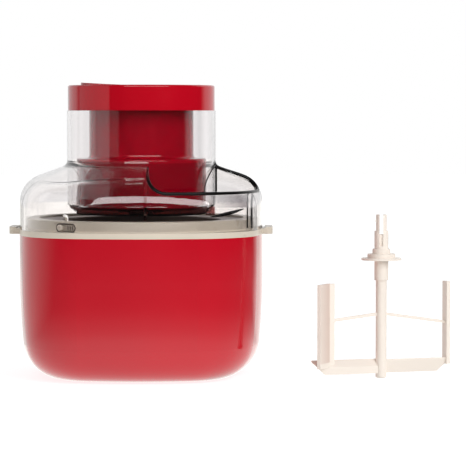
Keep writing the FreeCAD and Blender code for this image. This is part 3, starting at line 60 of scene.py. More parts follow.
# Sizes from here to the studio's are in millimetres. Lid and plan are as the solids have them.
SIDE_RADIUS = 215.0
SIDE_CENTRE = 115.0
SIDE_SPAN = math.radians(12.894)
CORNER_RADIUS = 62.0
CORNER_CENTRE = 34.142
NECK_RADIUS = 61.3
CONE_TOP = 173.6
CONE_TILT = math.radians(20.0)
CONE_SLOPE = math.tan(CONE_TILT)
SHOULDER_RADIUS = 23.0
SHOULDER_TANGENT = 16.1
SHOULDER_RISE = 0.94
SPOUT_EDGE = 8.0
SPOUT_ROUND = 16.0
SILL = 153.2

# Bead of painted shade round the spout: how deep it sits in the wall, how far back from the opening, its gap
# from the neck, the heights between which it thins, the direction its section is turned to, the points along
# each edge and the sill, and the rounds in which its bends settle on the shoulder
BEAD_SINK = 0.8
BEAD_BACK = 0.4
BEAD_GAP = 1.5
BEAD_SLIM = (165.5, 169.5)
BEAD_UPRIGHT = np.array([0.25, -0.25, 1.0])
EDGE_POINTS = 20
SILL_POINTS = 90
SETTLING_ROUNDS = 4

# Dark bars of painted shade on the lid's well, in its front right corner and under its chute. A corner bar is
# its place across, its depth and its radius. The chute's tip is its radius there as a share of that at its
# middle.
WELL_REACH = 61.7
WELL_ARC = math.radians(32.0)
WELL_ARC_LOW = 151.0
CORNER_SHADE_BARS = ((86.2, -54.0, 0.5), (89.6, -48.5, 0.75))
CORNER_SHADE_LOW = 124.0
CHUTE_LOW = (57.5, -60.0, 133.0)
CHUTE_HIGH = (83.5, -58.0, 139.4)
CHUTE_SAG = 0.8
CHUTE_TIP = 0.2

# Face of the rocker: half sizes, edge, floor, middle level, how far its ends rise, its slope, and the shares
# of its outline that its rings have
ROCKER_HALF = 49.8
ROCKER_WIDTH = 17.0
ROCKER_EDGE = 0.3
ROCKER_FLOOR = 235.8
ROCKER_LEVEL = 238.78
ROCKER_SAG = 1.3
ROCKER_LEAN = -0.0179
ROCKER_RINGS = np.array([1.0, 1.0, 0.985, 0.88, 0.72, 0.54, 0.36, 0.18])

# Lid catches in the rim's band: angle from the front, floor's reach, level, half sizes, and what is on them
CATCH_SIDES = {"left": 1, "right": -1}
CATCH_ANGLE = math.radians(36.1)
CATCH_FLOOR = 95.1
CATCH_LEVEL = 124.9
CATCH_HALF = 9.5
CATCH_RISE = 3.2
CATCH_BORDER = 0.5
CATCH_BUTTON = 2.6
BAND_REACH = 96.6
BAND_TOP = 130.2
RIB_HALF = 0.55
RIB_RISE = 2.0
RIB_SPOTS = (1.6, 3.9, 6.2)
HOOK_REACH = 94.9
HOOK_BEND = 1.5
HOOK_TIP = 1.2
# Sections of the pads on a catch, from the edge to the middle: share of the outline, height above the floor
PLATE_LIFT = 0.45
CATCH_PLATE = ((1.0, 0.0), (1.0, 0.3), (0.9, PLATE_LIFT), (0.5, PLATE_LIFT))
CATCH_RIB = ((1.0, 0.0), (1.0, PLATE_LIFT), (0.6, PLATE_LIFT + 0.25))
CATCH_DOME = ((1.0, 1.0), (1.0, 1.4), (0.9, 1.75), (0.6, 2.0), (0.3, 2.1))

# Painted light: the band's shade starts above the rim's lip, and the well's red reflection lies below a
# level.
BAND_SHADE_START = 122.6
WELL_BOTTOM = 139.5
WELL_PAINTED_REFLECTION = (138, 86, 84)
# Painted shade on the chute wall that faces the front: its two faces, the height and width that are painted,
# and the grey
CHUTE_WALL = (-8.6, -5.0)
CHUTE_RISE = (138.5, 149.5)
CHUTE_REACH = (56.0, 90.0)
CHUTE_PAINTED_SHADE = (150, 145, 149)
# Clear walls seen edge on are painted greyer as shade: facing shares where the grey starts and is full, and
# the grey
LID_SLANT = (0.6, 0.95)
LID_EDGE_SHADE = (188, 186, 187)
# Painted shade on the inner face of the left blade: its width and height, how strong the shade starts, and
# its colour
BLADE_FACE = (145.7, 154.0)
BLADE_RISE = (14.0, 90.0)
BLADE_SHADE = 0.35
BLADE_PAINTED_SHADE = (213, 190, 179)
# Half width of a tint's soft edge
EDGE_BLUR = 0.5

# Moulded skin: scale and detail of its three noises, the noise values between which clouds and scuffs act,
# and the factors between which clouds change the gloss
CLOUD_GRAIN = (14.0, 3.0)
SPECK_GRAIN = (900.0, 2.0)
FLOW_GRAIN = (38.0, 1.0)
CLOUD_RANGE = (0.3, 0.7)
SCUFF_RANGE = (0.55, 0.75)
GLOSS_RANGE = (0.85, 1.15)
# Depth of the skin's flow marks, in metres
FLOW_DEPTH = 0.002
# Clear plastic: gloss, tone drift, scuffs, flow marks, refraction, and how much of a lamp's light it stops
CLEAR_GLOSS = 0.004
CLEAR_SKIN = {"drift": 0.004, "scuff": 0.006, "flow": 0.004}
CLEAR_REFRACTION = 1.49
CLEAR_SHADOW = 0.12
# Settings that belong to one kind of finish: metals, the pad, the bowl's liner and the dark edges of painted
# shade
METAL_SKIN = {"drift": 0.06, "scuff": 0.1}
PAD_DRIFT = 0.1
LINER_METALLIC = 0.5
SHADE_BAR_SPECULAR = 0.2

# Plastics in a user's colours: the colour's property and the roughness
COLOURED = {
    "casing_red": ("casing", 0.13),
    "rim_cream": ("rim", 0.3),
    "catch_shaded_grey": ("catch", 0.35),
    "liner_dark": ("bowl", 0.42),
    "cap_red": ("cap", 0.08),
    # painted shade: darker reds of the motor and drum under the lid
    "motor_shaded_red": ("motor", 0.08),
    "drum_shaded_red": ("drum", 0.08),
    "paddle_white": ("paddle", 0.38),
}
# Other finishes: screen colour and roughness
FINISHES = {
    "pad_black": ((46, 46, 47), 0.8),
    "seal_grey": ((190, 190, 186), 0.7),
    "catch_pale": ((192, 182, 170), 0.35),
    # the catches' dark is the ribs' colour, and painted shade on the ring round each recess
    "catch_dark": ((78, 69, 63), 0.4),
    # painted highlight: the white hooks above the catches
    "hook_painted_highlight": ((255, 253, 250), 0.3),
    "shell_grey": ((160, 160, 160), 0.45),
    "gel_blue": ((150, 190, 212), 0.3),
    # painted shade: the dark bars where the lid's clear edges look dark
    "painted_edge_shade": ((10, 8, 9), 0.3),
    "gland_black": ((30, 30, 30), 0.6),
    "switch_black": ((38, 38, 38), 0.5),
    "plated_steel": ((196, 198, 200), 0.3),
    "sintered_bronze": ((184, 150, 96), 0.45),
    "copper_wire": ((190, 112, 66), 0.4),
    "magnet_grey": ((62, 62, 64), 0.6),
    "gear_white": ((228, 226, 214), 0.4),
}

# Studio, in metres. Floor's corners, the paper's grey and its glow for sight lines.
FLOOR_LOW = (-4.0, -2.4)
FLOOR_HIGH = (4.0, 6.0)
PAPER_GREY = 0.5
PAPER_GLOW = 0.82
# Light from the table: its colour, and its soft light as it falls between two places across
TABLE_WARMTH = (1.0, 0.985, 0.95)
TABLE_BOUNCE = (0.08, 0.16, 1.2, 0.72)
# Table near the machine in gloss: how far it reaches, its peak, and shares of both from far to near
TABLE_REACH = 2.2
TABLE_PEAK = 1.6
TABLE_GLOW = ((0.136, 0.06), (0.373, 0.19), (0.555, 0.21), (0.7, 0.17), (0.78, 0.2), (0.84, 0.4), (0.88, 0.6),
              (0.92, 1.0))
# Back and left of the table in gloss: direction, loss with distance, where each starts and is full, its peak
TABLE_BACK = (0.1, 0.995, 0.0)
BACK_FADE = (0.75, 1.7, 0.11, 0.25)
BACK_SPREAD = (0.48, 0.74)
BACK_PEAK = 1.35
TABLE_LEFT = (-0.87, 0.5, 0.0)
LEFT_SPREAD = (0.45, 0.95)
LEFT_PEAK = 1.25
# World: soft light from all round, and the turn from the dim room to the white wall with its two levels
ROOM_GLOW = 0.5
WALL_TURN = (0.33, 0.52)
WALL_LEVELS = (0.03, 1.0)
# Ray depths are whole numbers, and this parts none from one
HALF_BOUNCE = 0.5
# Lamps: place, target, width and height, watts, and whether they leave out mirror images or soft light
LAMPS = {
    "key_left": {"place": (-1.08, -0.23, 0.68), "target": (0.0, 0.0, 0.68), "size": (1.3, 1.1),
                 "power": 3.2, "soft": False},
    "front_fill": {"place": (1.2, -1.35, 0.78), "target": (0.05, 0.0, 0.1), "size": (1.2, 1.0),
                   "power": 22.0, "mirrored": False},
    "front_window": {"place": (0.515, -1.86, 0.95), "target": (0.515, 0.0, 0.95), "size": (2.7, 1.0),
                     "power": 46.0, "soft": False},
}
# Camera: picture's side in pixels, sensor's width in millimetres, nearest distance in metres
PHOTO_PIXELS = 466
SENSOR_WIDTH = 36.0
NEAR_CLIP = 0.05


def srgb(red, green, blue):
    """Linear colour of an 8-bit screen colour: each channel divided by 255, then the screen curve undone."""
    channels = np.array([red, green, blue]) / 255.0
    low = channels / 12.92
    high = ((channels + 0.055) / 1.055) ** 2.4
    return tuple(float(c) for c in np.where(channels <= 0.04045, low, high))


def colour(name, red, green, blue, description):
    """Colour property whose default is a screen colour."""
    return FloatVectorProperty(name=name, description=description, subtype="COLOR", size=3, min=0.0, max=1.0,
                               default=srgb(red, green, blue))


def length(name, default, description):
    """Length property in metres."""
    return FloatProperty(name=name, description=description, default=default, unit="LENGTH", precision=5)


def number(name, default, description):
    """Property for a plain number."""
    return FloatProperty(name=name, description=description, default=default)


class MakerColours(bpy.types.PropertyGroup):
    """Colours of the plastics and metals."""
    casing: colour("Casing", 184, 2, 28, "Gloss red of the casing")
    cap: colour("Cap", 178, 4, 26, "Gloss red of the cap and rocker")
    # painted shade: the motor's and drum's reds are darker copies of the cap's red, for the shade under the
    # lid
    motor: colour("Motor", 150, 0, 23, "Gloss red of the motor's housing")
    drum: colour("Drum", 126, 0, 18, "Gloss red of the gear drum")
    rim: colour("Rim", 206, 196, 181, "Cream of the rim")
    # painted shade: the band inside the lid is this darker cream, as the lid's shade on it
    band: colour("Band", 180, 171, 157, "Deeper cream of the band inside the lid")
    # painted shade: the catch's grey darkens the recess in the band
    catch: colour("Catch", 152, 142, 130, "Grey of the lid catches")
    lid: colour("Lid", 248, 246, 246, "Faint tint of the clear lid")
    paddle: colour("Paddle", 239, 229, 219, "Warm white of the mixing paddle")
    bowl: colour("Bowl", 108, 92, 84, "Dark anodised liner")


class MakerSizes(bpy.types.PropertyGroup):
    """Sizes of the dark bars of painted shade on the lid and of the hooks, painted highlights, above the
    catches.
    """
    bead: length("Spout Bead", 0.00145, "Radius of the bead along the spout's sill")
    bead_thin: length("Spout Bead Ends", 0.00075, "Radius of the bead at its two upper ends")
    well_edge: length("Well Edge", 0.0008, "Radius of the upright edge on the well")
    well_arc: length("Well Arc", 0.0005, "Radius of the curved edge on the well")
    chute_edge: length("Chute Edge", 0.0015, "Radius of the chute's lower edge at its middle")
    hook: length("Hook", 0.0011, "Radius of the hook above a catch")
    hook_height: length("Hook Height", 0.0044, "Height of the hook's middle above the band")


class StudioSettings(bpy.types.PropertyGroup):
    """Camera's place and lens."""
    distance: length("Camera Distance", 1.9, "From the camera to the machine's middle plane")
    height: length("Camera Height", 0.2168, "Camera above the table")
    aside: length("Camera Aside", 0.0756, "Camera to the right of the machine's axis")
    focal_pixels: number("Focal Length", 2300.0, "Focal length in picture pixels")
    horizon_row: number("Horizon Row", 112.0, "Picture row of the horizon")


def new_mesh_object(name, vertices, faces):
    """Mesh object at the origin from an array of points and a list of arrays of faces."""
    mesh = bpy.data.meshes.new(name)
    mesh.from_pydata(vertices.tolist(), [], [face for block in faces for face in block.tolist()])
    mesh.update()
    item = bpy.data.objects.new(name, mesh)
    bpy.context.scene.collection.objects.link(item)
    return item


def smooth_piece(name, surface, material, body):
    """Smooth piece on a CAD body, with its material, from a surface's points in millimetres and its faces."""
    vertices, faces = surface
    item = new_mesh_object(name, vertices * MILLIMETRE, faces)
    mesh = item.data
    mesh.polygons.foreach_set("use_smooth", np.ones(len(mesh.polygons), dtype=bool))
    mesh.materials.append(material)
    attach(item, body)


def grid_faces(rows, columns):
    """Quads of a grid of points in row order, whose columns close on themselves."""
    row, column = np.meshgrid(np.arange(rows - 1), np.arange(columns), indexing="ij")
    after = (column + 1) % columns
    here = row * columns
    above = here + columns
    corners = (here + column, here + after, above + after, above + column)
    return np.stack(corners, axis=-1).reshape(-1, 4)


def capped(rings, first_pole, last_pole):
    """Closed surface from rings of points in order: quads between rings, and a fan to a pole at each end."""
    rows, columns = rings.shape[:2]
    points = np.concatenate([rings.reshape(-1, 3), first_pole[None], last_pole[None]])
    spot = np.arange(columns)
    after = (spot + 1) % columns
    last = (rows - 1) * columns
    low = np.stack([after, spot, np.full(columns, rows * columns)], axis=1)
    high = np.stack([last + spot, last + after, np.full(columns, rows * columns + 1)], axis=1)
    return points, [grid_faces(rows, columns), low, high]


def bead(path, radius, upright, sides=16):
    """Round bar along a path: a circle in the plane square to the path at every point, with rounded ends.

    The radius is one number or one for every point. The circle's first direction is the part of a fixed
    upright that is square to the path. At each end two smaller circles and a pole past the last point make
    half a ball.
    """
    radius = np.broadcast_to(radius, len(path))
    along = np.gradient(path, axis=0)
    along /= np.linalg.norm(along, axis=1, keepdims=True)
    latitude = np.radians([60.0, 30.0])
    lead = np.sin(latitude)
    shrink = np.cos(latitude)
    start = path[0] - radius[0] * lead[:, None] * along[0]
    end = path[-1] + radius[-1] * lead[::-1, None] * along[-1]
    spine = np.concatenate([start, path, end])
    along = np.concatenate([along[[0, 0]], along, along[[-1, -1]]])
    size = np.concatenate([shrink * radius[0], radius, shrink[::-1] * radius[-1]])
    first = upright - (along @ upright)[:, None] * along
    first /= np.linalg.norm(first, axis=1, keepdims=True)
    second = np.cross(along, first)
    turn = np.linspace(0.0, 2.0 * np.pi, sides, endpoint=False)
    ring = np.cos(turn)[None, :, None] * first[:, None, :] + np.sin(turn)[None, :, None] * second[:, None, :]
    rings = spine[:, None, :] + size[:, None, None] * ring
    return capped(rings, path[0] - radius[0] * along[0], path[-1] + radius[-1] * along[-1])


def oval(half, rise, steps=64):
    """Round a long oval: half circles at its ends, whose centre slides along as the direction passes upright.

    A shape that isn't longer than it is tall is a plain ellipse.
    """
    turn = np.linspace(0.0, 2.0 * np.pi, steps, endpoint=False)
    straight = max(half - rise, 0.0)
    along = straight * np.clip(OVAL_SLIDE * np.cos(turn), -1.0, 1.0) + min(half, rise) * np.cos(turn)
    return np.stack([along, rise * np.sin(turn)], axis=1)


def catch_outward(side):
    """Level direction out of a catch: side 1 is the catch at the front left, and side -1 the one opposite."""
    return -side * np.array([math.sin(CATCH_ANGLE), math.cos(CATCH_ANGLE), 0.0])


def on_catch(along, out, up, side):
    """Points beside a catch, from how far they lie along the band, out from its floor, above its middle."""
    outward = catch_outward(side)
    tangent = np.array([-outward[1], outward[0], 0.0])
    reach = (CATCH_FLOOR + out)[..., None]
    return along[..., None] * tangent + reach * outward + (CATCH_LEVEL + up)[..., None] * UP


def catch_pad(rim, profile, middle, side):
    """Closed pad on a catch's floor: an oval rim shrunk by the profile's shares, lifted by its heights."""
    share, lift = np.array(profile).T
    along = middle + share[:, None] * rim[None, :, 0]
    up = share[:, None] * rim[None, :, 1]
    out = np.broadcast_to(lift[:, None], up.shape)
    rings = on_catch(along, out, up, side)
    poles = on_catch(np.full(2, middle), lift[[0, -1]], np.zeros(2), side)
    return capped(rings, poles[0], poles[1])


def catch_shade_ring(side, sides=10):
    """Painted shade round a catch: a round bar along its oval, closed on itself, of circles square to it on
    the band's surface.
    """
    path = oval(CATCH_HALF, CATCH_RISE)
    along = np.roll(path, -1, axis=0) - np.roll(path, 1, axis=0)
    along /= np.linalg.norm(along, axis=1, keepdims=True)
    square = np.stack([along[:, 1], -along[:, 0]], axis=1)
    turn = np.linspace(0.0, 2.0 * np.pi, sides, endpoint=False)
    spread = path[:, None, :] + CATCH_BORDER * np.cos(turn)[None, :, None] * square[:, None, :]
    surface = np.sqrt(BAND_REACH ** 2 - path[:, 0] ** 2) - CATCH_FLOOR
    out = surface[:, None] - CATCH_BORDER * np.sin(turn)[None, :]
    rings = on_catch(spread[..., 0], out, spread[..., 1], side)
    faces = grid_faces(len(path) + 1, sides) % (len(path) * sides)
    return rings.reshape(-1, 3), [faces]


def catch_hook(side, radius, height, steps=12):
    """Hook of painted highlight above a catch: a bar straight up from the band, then a quarter circle to the
    left.
    """
    turn = np.linspace(0.0, np.pi / 2, steps)
    low = BAND_TOP - CATCH_LEVEL
    high = low + height - HOOK_BEND
    along = np.concatenate([[0.0, 0.0], HOOK_BEND * (np.cos(turn) - 1.0), [-HOOK_BEND - HOOK_TIP]])
    up = np.concatenate([[low - radius, low], high + HOOK_BEND * np.sin(turn), [high + HOOK_BEND]])
    path = on_catch(along, np.full(len(along), HOOK_REACH - CATCH_FLOOR), up, side)
    return bead(path, radius, catch_outward(side))


def plan_point(angle, inset):
    """Point of the bowed-square plan whose outward direction makes an angle with the front, set in evenly.

    Each side is an arc about a centre behind it and each corner an arc about a centre on its diagonal, so the
    point is that centre plus the arc's radius, less the inset, along the outward direction.
    """
    outward = np.stack([np.sin(angle), -np.cos(angle)], axis=-1)
    front = np.stack([np.zeros_like(angle), np.full_like(angle, SIDE_CENTRE)], axis=-1)
    right = np.stack([np.full_like(angle, -SIDE_CENTRE), np.zeros_like(angle)], axis=-1)
    corner = np.stack([np.full_like(angle, CORNER_CENTRE), np.full_like(angle, -CORNER_CENTRE)], axis=-1)
    on_front = angle < SIDE_SPAN
    on_right = angle > np.pi / 2 - SIDE_SPAN
    centre = np.where(on_front[:, None], front, np.where(on_right[:, None], right, corner))
    reach = np.where(on_front | on_right, SIDE_RADIUS, CORNER_RADIUS) - inset
    return centre + reach[:, None] * outward


def shoulder_inset(angle, height):
    """How far the lid's rounded shoulder lies inside the wall's plan at a height, and its normal's rise.

    The round is a circle of the shoulder's radius, tangent to the upright wall and to the cone above it. Its
    normal rises no further than the cone's does.
    """
    across = np.linalg.norm(plan_point(angle, np.zeros_like(angle)), axis=1)
    start = CONE_TOP - (across - NECK_RADIUS) * CONE_SLOPE - SHOULDER_TANGENT
    rise = np.clip((height - start) / SHOULDER_RADIUS, 0.0, SHOULDER_RISE)
    return SHOULDER_RADIUS * (1.0 - np.sqrt(1.0 - rise ** 2)), rise


def spout_side():
    """Middle of the bead along the spout's left edge: down the cone, then round the corner to the sill.

    The edge is upright seen from the front, then a quarter circle. Each point is moved in along the surface's
    normal by the bead's sink, and away from the opening by its set-back.
    """
    foot = NECK_RADIUS + (CONE_TOP - SILL - SPOUT_ROUND) / CONE_SLOPE
    reach = np.linspace(NECK_RADIUS + BEAD_GAP, foot, EDGE_POINTS)
    back = np.sqrt(reach ** 2 - SPOUT_EDGE ** 2)
    height = CONE_TOP - (reach - NECK_RADIUS) * CONE_SLOPE
    cone = np.stack([np.full(EDGE_POINTS, SPOUT_EDGE - BEAD_BACK), -back + BEAD_SINK * math.sin(CONE_TILT),
                     height - BEAD_SINK * math.cos(CONE_TILT)], axis=1)
    turn = np.linspace(0.0, np.pi / 2, EDGE_POINTS + 1)[1:]
    across = SPOUT_EDGE + SPOUT_ROUND * (1.0 - np.cos(turn))
    level = SILL + SPOUT_ROUND * (1.0 - np.sin(turn))
    angle = np.arcsin(across / SIDE_RADIUS)
    for _ in range(SETTLING_ROUNDS):
        inset, rise = shoulder_inset(angle, level)
        angle = np.arcsin(across / (SIDE_RADIUS - inset))
    on_cone = NECK_RADIUS + (CONE_TOP - level) / CONE_SLOPE
    depth = np.maximum(plan_point(angle, inset)[:, 1], -np.sqrt(on_cone ** 2 - across ** 2))
    flat = np.sqrt(1.0 - rise ** 2)
    bend = np.stack([across - BEAD_BACK * np.cos(turn), depth + BEAD_SINK * flat,
                     level - BEAD_BACK * np.sin(turn) - BEAD_SINK * rise], axis=1)
    return np.concatenate([cone, bend])


def spout_bead(thick, thin):
    """Bead of painted shade round the spout: its left edge, the sill round the lid's corner, and the right
    edge.

    The right edge is the left one mirrored in the diagonal through the lid's front right corner. The bead is
    thick along the sill and thin at its upper ends, with a straight change between two heights.
    """
    left = spout_side()
    right = np.stack([-left[:, 1], -left[:, 0], left[:, 2]], axis=1)[::-1]
    start = math.asin((SPOUT_EDGE + SPOUT_ROUND) / SIDE_RADIUS)
    angle = np.linspace(start, np.pi / 2 - start, SILL_POINTS)[1:-1]
    inset, rise = shoulder_inset(angle, np.full_like(angle, SILL))
    plan = plan_point(angle, inset + BEAD_SINK * np.sqrt(1.0 - rise ** 2))
    sill = np.column_stack([plan, SILL - BEAD_BACK - BEAD_SINK * rise])
    path = np.concatenate([left, sill, right])
    return bead(path, np.interp(path[:, 2], BEAD_SLIM, (thick, thin)), BEAD_UPRIGHT)


def well_arc(radius, steps=24):
    """Painted shade on the well's curved edge: a dark bar on a quarter ellipse in angle and height, on its
    cylinder.
    """
    turn = np.linspace(0.0, np.pi / 2, steps)
    angle = WELL_ARC * np.sin(turn)
    height = WELL_ARC_LOW + (CONE_TOP - WELL_ARC_LOW) * np.cos(turn)
    path = np.stack([WELL_REACH * np.cos(angle), -WELL_REACH * np.sin(angle), height], axis=1)
    return bead(path, radius, ACROSS)


def chute_shade_bar(radius, steps=24):
    """Painted shade on the chute's lower edge: a bar on a straight rise with a parabola's sag, swelling like
    a sine.
    """
    share = np.linspace(0.0, 1.0, steps)
    path = np.outer(1.0 - share, CHUTE_LOW) + np.outer(share, CHUTE_HIGH)
    path[:, 2] -= CHUTE_SAG * 4.0 * share * (1.0 - share)
    swell = CHUTE_TIP + (1.0 - CHUTE_TIP) * np.sin(np.pi * share)
    return bead(path, radius * swell, UP)


def upright_bar(across, depth, low, high, radius):
    """Straight upright bar with round ends at a place in the plan."""
    path = np.array([[across, depth, low], [across, depth, high]])
    return bead(path, radius, ACROSS)


def rocker_level(across):
    """Height of the rocker's face: a parabola, lowest in the middle, on a slope down to the right."""
    return ROCKER_LEVEL + ROCKER_SAG * (across / ROCKER_HALF) ** 2 + ROCKER_LEAN * across


def rocker_face():
    """Closed pad in the rocker's dish: an oval shrunk towards the middle, at the face's height at each point.

    The first ring lies on the pad's floor, inside the rocker, and the second lies below the face by the edge.
    """
    rim = oval(ROCKER_HALF, ROCKER_WIDTH)
    plan = ROCKER_RINGS[:, None, None] * rim[None]
    height = rocker_level(plan[..., 0])
    height[0] = ROCKER_FLOOR
    height[1] -= ROCKER_EDGE
    return capped(np.concatenate([plan, height[..., None]], axis=2), ROCKER_FLOOR * UP, ROCKER_LEVEL * UP)


def noise(tree, scale, detail, coordinates):
    """Value of a noise texture at the coordinates."""
    node = tree.nodes.new("ShaderNodeTexNoise")
    node.inputs["Scale"].default_value = scale
    node.inputs["Detail"].default_value = detail
    tree.links.new(coordinates, node.inputs["Vector"])
    return node.outputs["Fac"]


def ramp(tree, value, low, high, start=0.0, end=1.0):
    """Straight-line remap of a value from low..high to start..end, held at both ends."""
    node = tree.nodes.new("ShaderNodeMapRange")
    node.inputs["From Min"].default_value = low
    node.inputs["From Max"].default_value = high
    node.inputs["To Min"].default_value = start
    node.inputs["To Max"].default_value = end
    tree.links.new(value, node.inputs["Value"])
    return node.outputs["Result"]


def maths(tree, operation, *values):
    """Math node on two or three values, each a socket or a number."""
    node = tree.nodes.new("ShaderNodeMath")
    node.operation = operation
    for socket, value in zip(node.inputs, values):
        if isinstance(value, (int, float)):
            socket.default_value = value
        else:
            tree.links.new(value, socket)
    return node.outputs[0]


def vector_maths(tree, operation, output, vector, fixed=(0.0, 0.0, 0.0)):
    """One output of a Vector Math node on a vector's socket and a fixed vector."""
    node = tree.nodes.new("ShaderNodeVectorMath")
    node.operation = operation
    tree.links.new(vector, node.inputs[0])
    node.inputs[1].default_value = fixed
    return node.outputs[output]


def moulded_skin():
    """Node group for moulded plastic: slow tone drift, cloudy gloss with fine scuffs, faint flow height."""
    name = "Moulded Skin"
    if name in bpy.data.node_groups:
        return bpy.data.node_groups[name]
    tree = bpy.data.node_groups.new(name, "ShaderNodeTree")
    inputs = {"Vector": "NodeSocketVector", "Colour": "NodeSocketColor", "Drift": "NodeSocketFloat",
              "Gloss": "NodeSocketFloat", "Scuff": "NodeSocketFloat"}
    outputs = {"Colour": "NodeSocketColor", "Roughness": "NodeSocketFloat", "Height": "NodeSocketFloat"}
    for label, kind in inputs.items():
        tree.interface.new_socket(label, in_out="INPUT", socket_type=kind)
    for label, kind in outputs.items():
        tree.interface.new_socket(label, in_out="OUTPUT", socket_type=kind)
    source = tree.nodes.new("NodeGroupInput").outputs
    sink = tree.nodes.new("NodeGroupOutput").inputs
    cloud = noise(tree, *CLOUD_GRAIN, source["Vector"])
    speck = noise(tree, *SPECK_GRAIN, source["Vector"])
    flow = noise(tree, *FLOW_GRAIN, source["Vector"])
    tone = tree.nodes.new("ShaderNodeHueSaturation")
    drift = ramp(tree, cloud, *CLOUD_RANGE, -1.0, 1.0)
    tree.links.new(maths(tree, "MULTIPLY_ADD", drift, source["Drift"], 1.0), tone.inputs["Value"])
    tree.links.new(source["Colour"], tone.inputs["Color"])
    tree.links.new(tone.outputs["Color"], sink["Colour"])
    clouded = ramp(tree, cloud, *CLOUD_RANGE, *GLOSS_RANGE)
    gloss = maths(tree, "MULTIPLY", source["Gloss"], clouded)
    scuffs = ramp(tree, speck, *SCUFF_RANGE)
    tree.links.new(maths(tree, "MULTIPLY_ADD", scuffs, source["Scuff"], gloss), sink["Roughness"])
    tree.links.new(flow, sink["Height"])
    return tree


def moulded(name, tint, gloss, drift=0.03, scuff=0.04, flow=0.02):
    """Moulded plastic: the skin group drives colour, roughness and a faint bump of a Principled shader."""
    material = bpy.data.materials.new(name)
    material.use_nodes = True
    tree = material.node_tree
    shader = tree.nodes["Principled BSDF"]
    place = tree.nodes.new("ShaderNodeTexCoord")
    skin = tree.nodes.new("ShaderNodeGroup")
    skin.node_tree = moulded_skin()
    tree.links.new(place.outputs["Object"], skin.inputs["Vector"])
    skin.inputs["Colour"].default_value = (*tint, 1.0)
    skin.inputs["Drift"].default_value = drift
    skin.inputs["Gloss"].default_value = gloss
    skin.inputs["Scuff"].default_value = scuff
    bump = tree.nodes.new("ShaderNodeBump")
    bump.inputs["Strength"].default_value = flow
    bump.inputs["Distance"].default_value = FLOW_DEPTH
    tree.links.new(skin.outputs["Height"], bump.inputs["Height"])
    tree.links.new(bump.outputs["Normal"], shader.inputs["Normal"])
    tree.links.new(skin.outputs["Colour"], shader.inputs["Base Color"])
    tree.links.new(skin.outputs["Roughness"], shader.inputs["Roughness"])
    return material


def set_shader(material, socket, value):
    """Set a plain value on a material's Principled shader."""
    material.node_tree.nodes["Principled BSDF"].inputs[socket].default_value = value


def coloured(name, colours):
    """Moulded plastic in one of the user's colours."""
    choice, gloss = COLOURED[name]
    return moulded(name, getattr(colours, choice), gloss)


def plain(name, **skin):
    """Moulded plastic in one of the fixed finishes."""
    tint, gloss = FINISHES[name]
    return moulded(name, srgb(*tint), gloss, **skin)


def metal(name):
    """Worked metal: the same skin with full metallic reflection."""
    material = plain(name, **METAL_SKIN)
    set_shader(material, "Metallic", 1.0)
    return material


def clear_moulding(name, tint):
    """Clear plastic that refracts; lamps shine through it because its alpha is low for shadow rays."""
    material = moulded(name, tint, CLEAR_GLOSS, **CLEAR_SKIN)
    set_shader(material, "Transmission Weight", 1.0)
    set_shader(material, "IOR", CLEAR_REFRACTION)
    tree = material.node_tree
    path = tree.nodes.new("ShaderNodeLightPath")
    alpha = ramp(tree, path.outputs["Is Shadow Ray"], 0.0, 1.0, 1.0, CLEAR_SHADOW)
    tree.links.new(alpha, tree.nodes["Principled BSDF"].inputs["Alpha"])
    return material


def paint_lighting(material, mask, tint):
    """Painted light and shade: turn the colour a material has so far towards a tint where a mask is 1."""
    tree = material.node_tree
    base = tree.nodes["Principled BSDF"].inputs["Base Color"]
    blend = tree.nodes.new("ShaderNodeMix")
    blend.data_type = "RGBA"
    tree.links.new(mask, blend.inputs["Factor"])
    tree.links.new(base.links[0].from_socket, blend.inputs["A"])
    blend.inputs["B"].default_value = (*tint, 1.0)
    tree.links.new(blend.outputs["Result"], base)


def soft_step(tree, value, level, before=0.0, after=1.0):
    """Change from one number to another, with a soft edge, where a value in metres passes a level."""
    low = (level - EDGE_BLUR) * MILLIMETRE
    high = (level + EDGE_BLUR) * MILLIMETRE
    return ramp(tree, value, low, high, before, after)


def place_of(material):
    """Place of a point on the piece, in metres."""
    return material.node_tree.nodes["Texture Coordinate"].outputs["Object"]


def place_on(material, axis):
    """Place of a point along one axis of the piece, in metres."""
    tree = material.node_tree
    split = tree.nodes.new("ShaderNodeSeparateXYZ")
    tree.links.new(place_of(material), split.inputs[0])
    return split.outputs[axis]


def beyond(material, axis, level):
    """Mask that is 1 where the place along an axis is past a level and 0 before it."""
    return soft_step(material.node_tree, place_on(material, axis), level)


def before(material, axis, level):
    """Mask that is 1 where the place along an axis is short of a level and 0 past it."""
    return soft_step(material.node_tree, place_on(material, axis), level, 1.0, 0.0)


def between(material, axis, low, high):
    """Mask that is 1 between two levels along an axis and 0 outside them."""
    return maths(material.node_tree, "SUBTRACT", beyond(material, axis, low), beyond(material, axis, high))


def within(material, radius):
    """Mask that is 1 nearer to the piece's upright axis than a radius and 0 beyond it."""
    tree = material.node_tree
    level = vector_maths(tree, "MULTIPLY", "Vector", place_of(material), (1.0, 1.0, 0.0))
    return soft_step(tree, vector_maths(tree, "LENGTH", "Value", level), radius, 1.0, 0.0)


def rising(material, axis, low, high, start=0.0):
    """Mask that grows evenly from a start to 1 between two levels along an axis, and is 0 outside them."""
    tree = material.node_tree
    grown = ramp(tree, place_on(material, axis), low * MILLIMETRE, high * MILLIMETRE, start, 1.0)
    return maths(tree, "MULTIPLY", grown, between(material, axis, low, high))


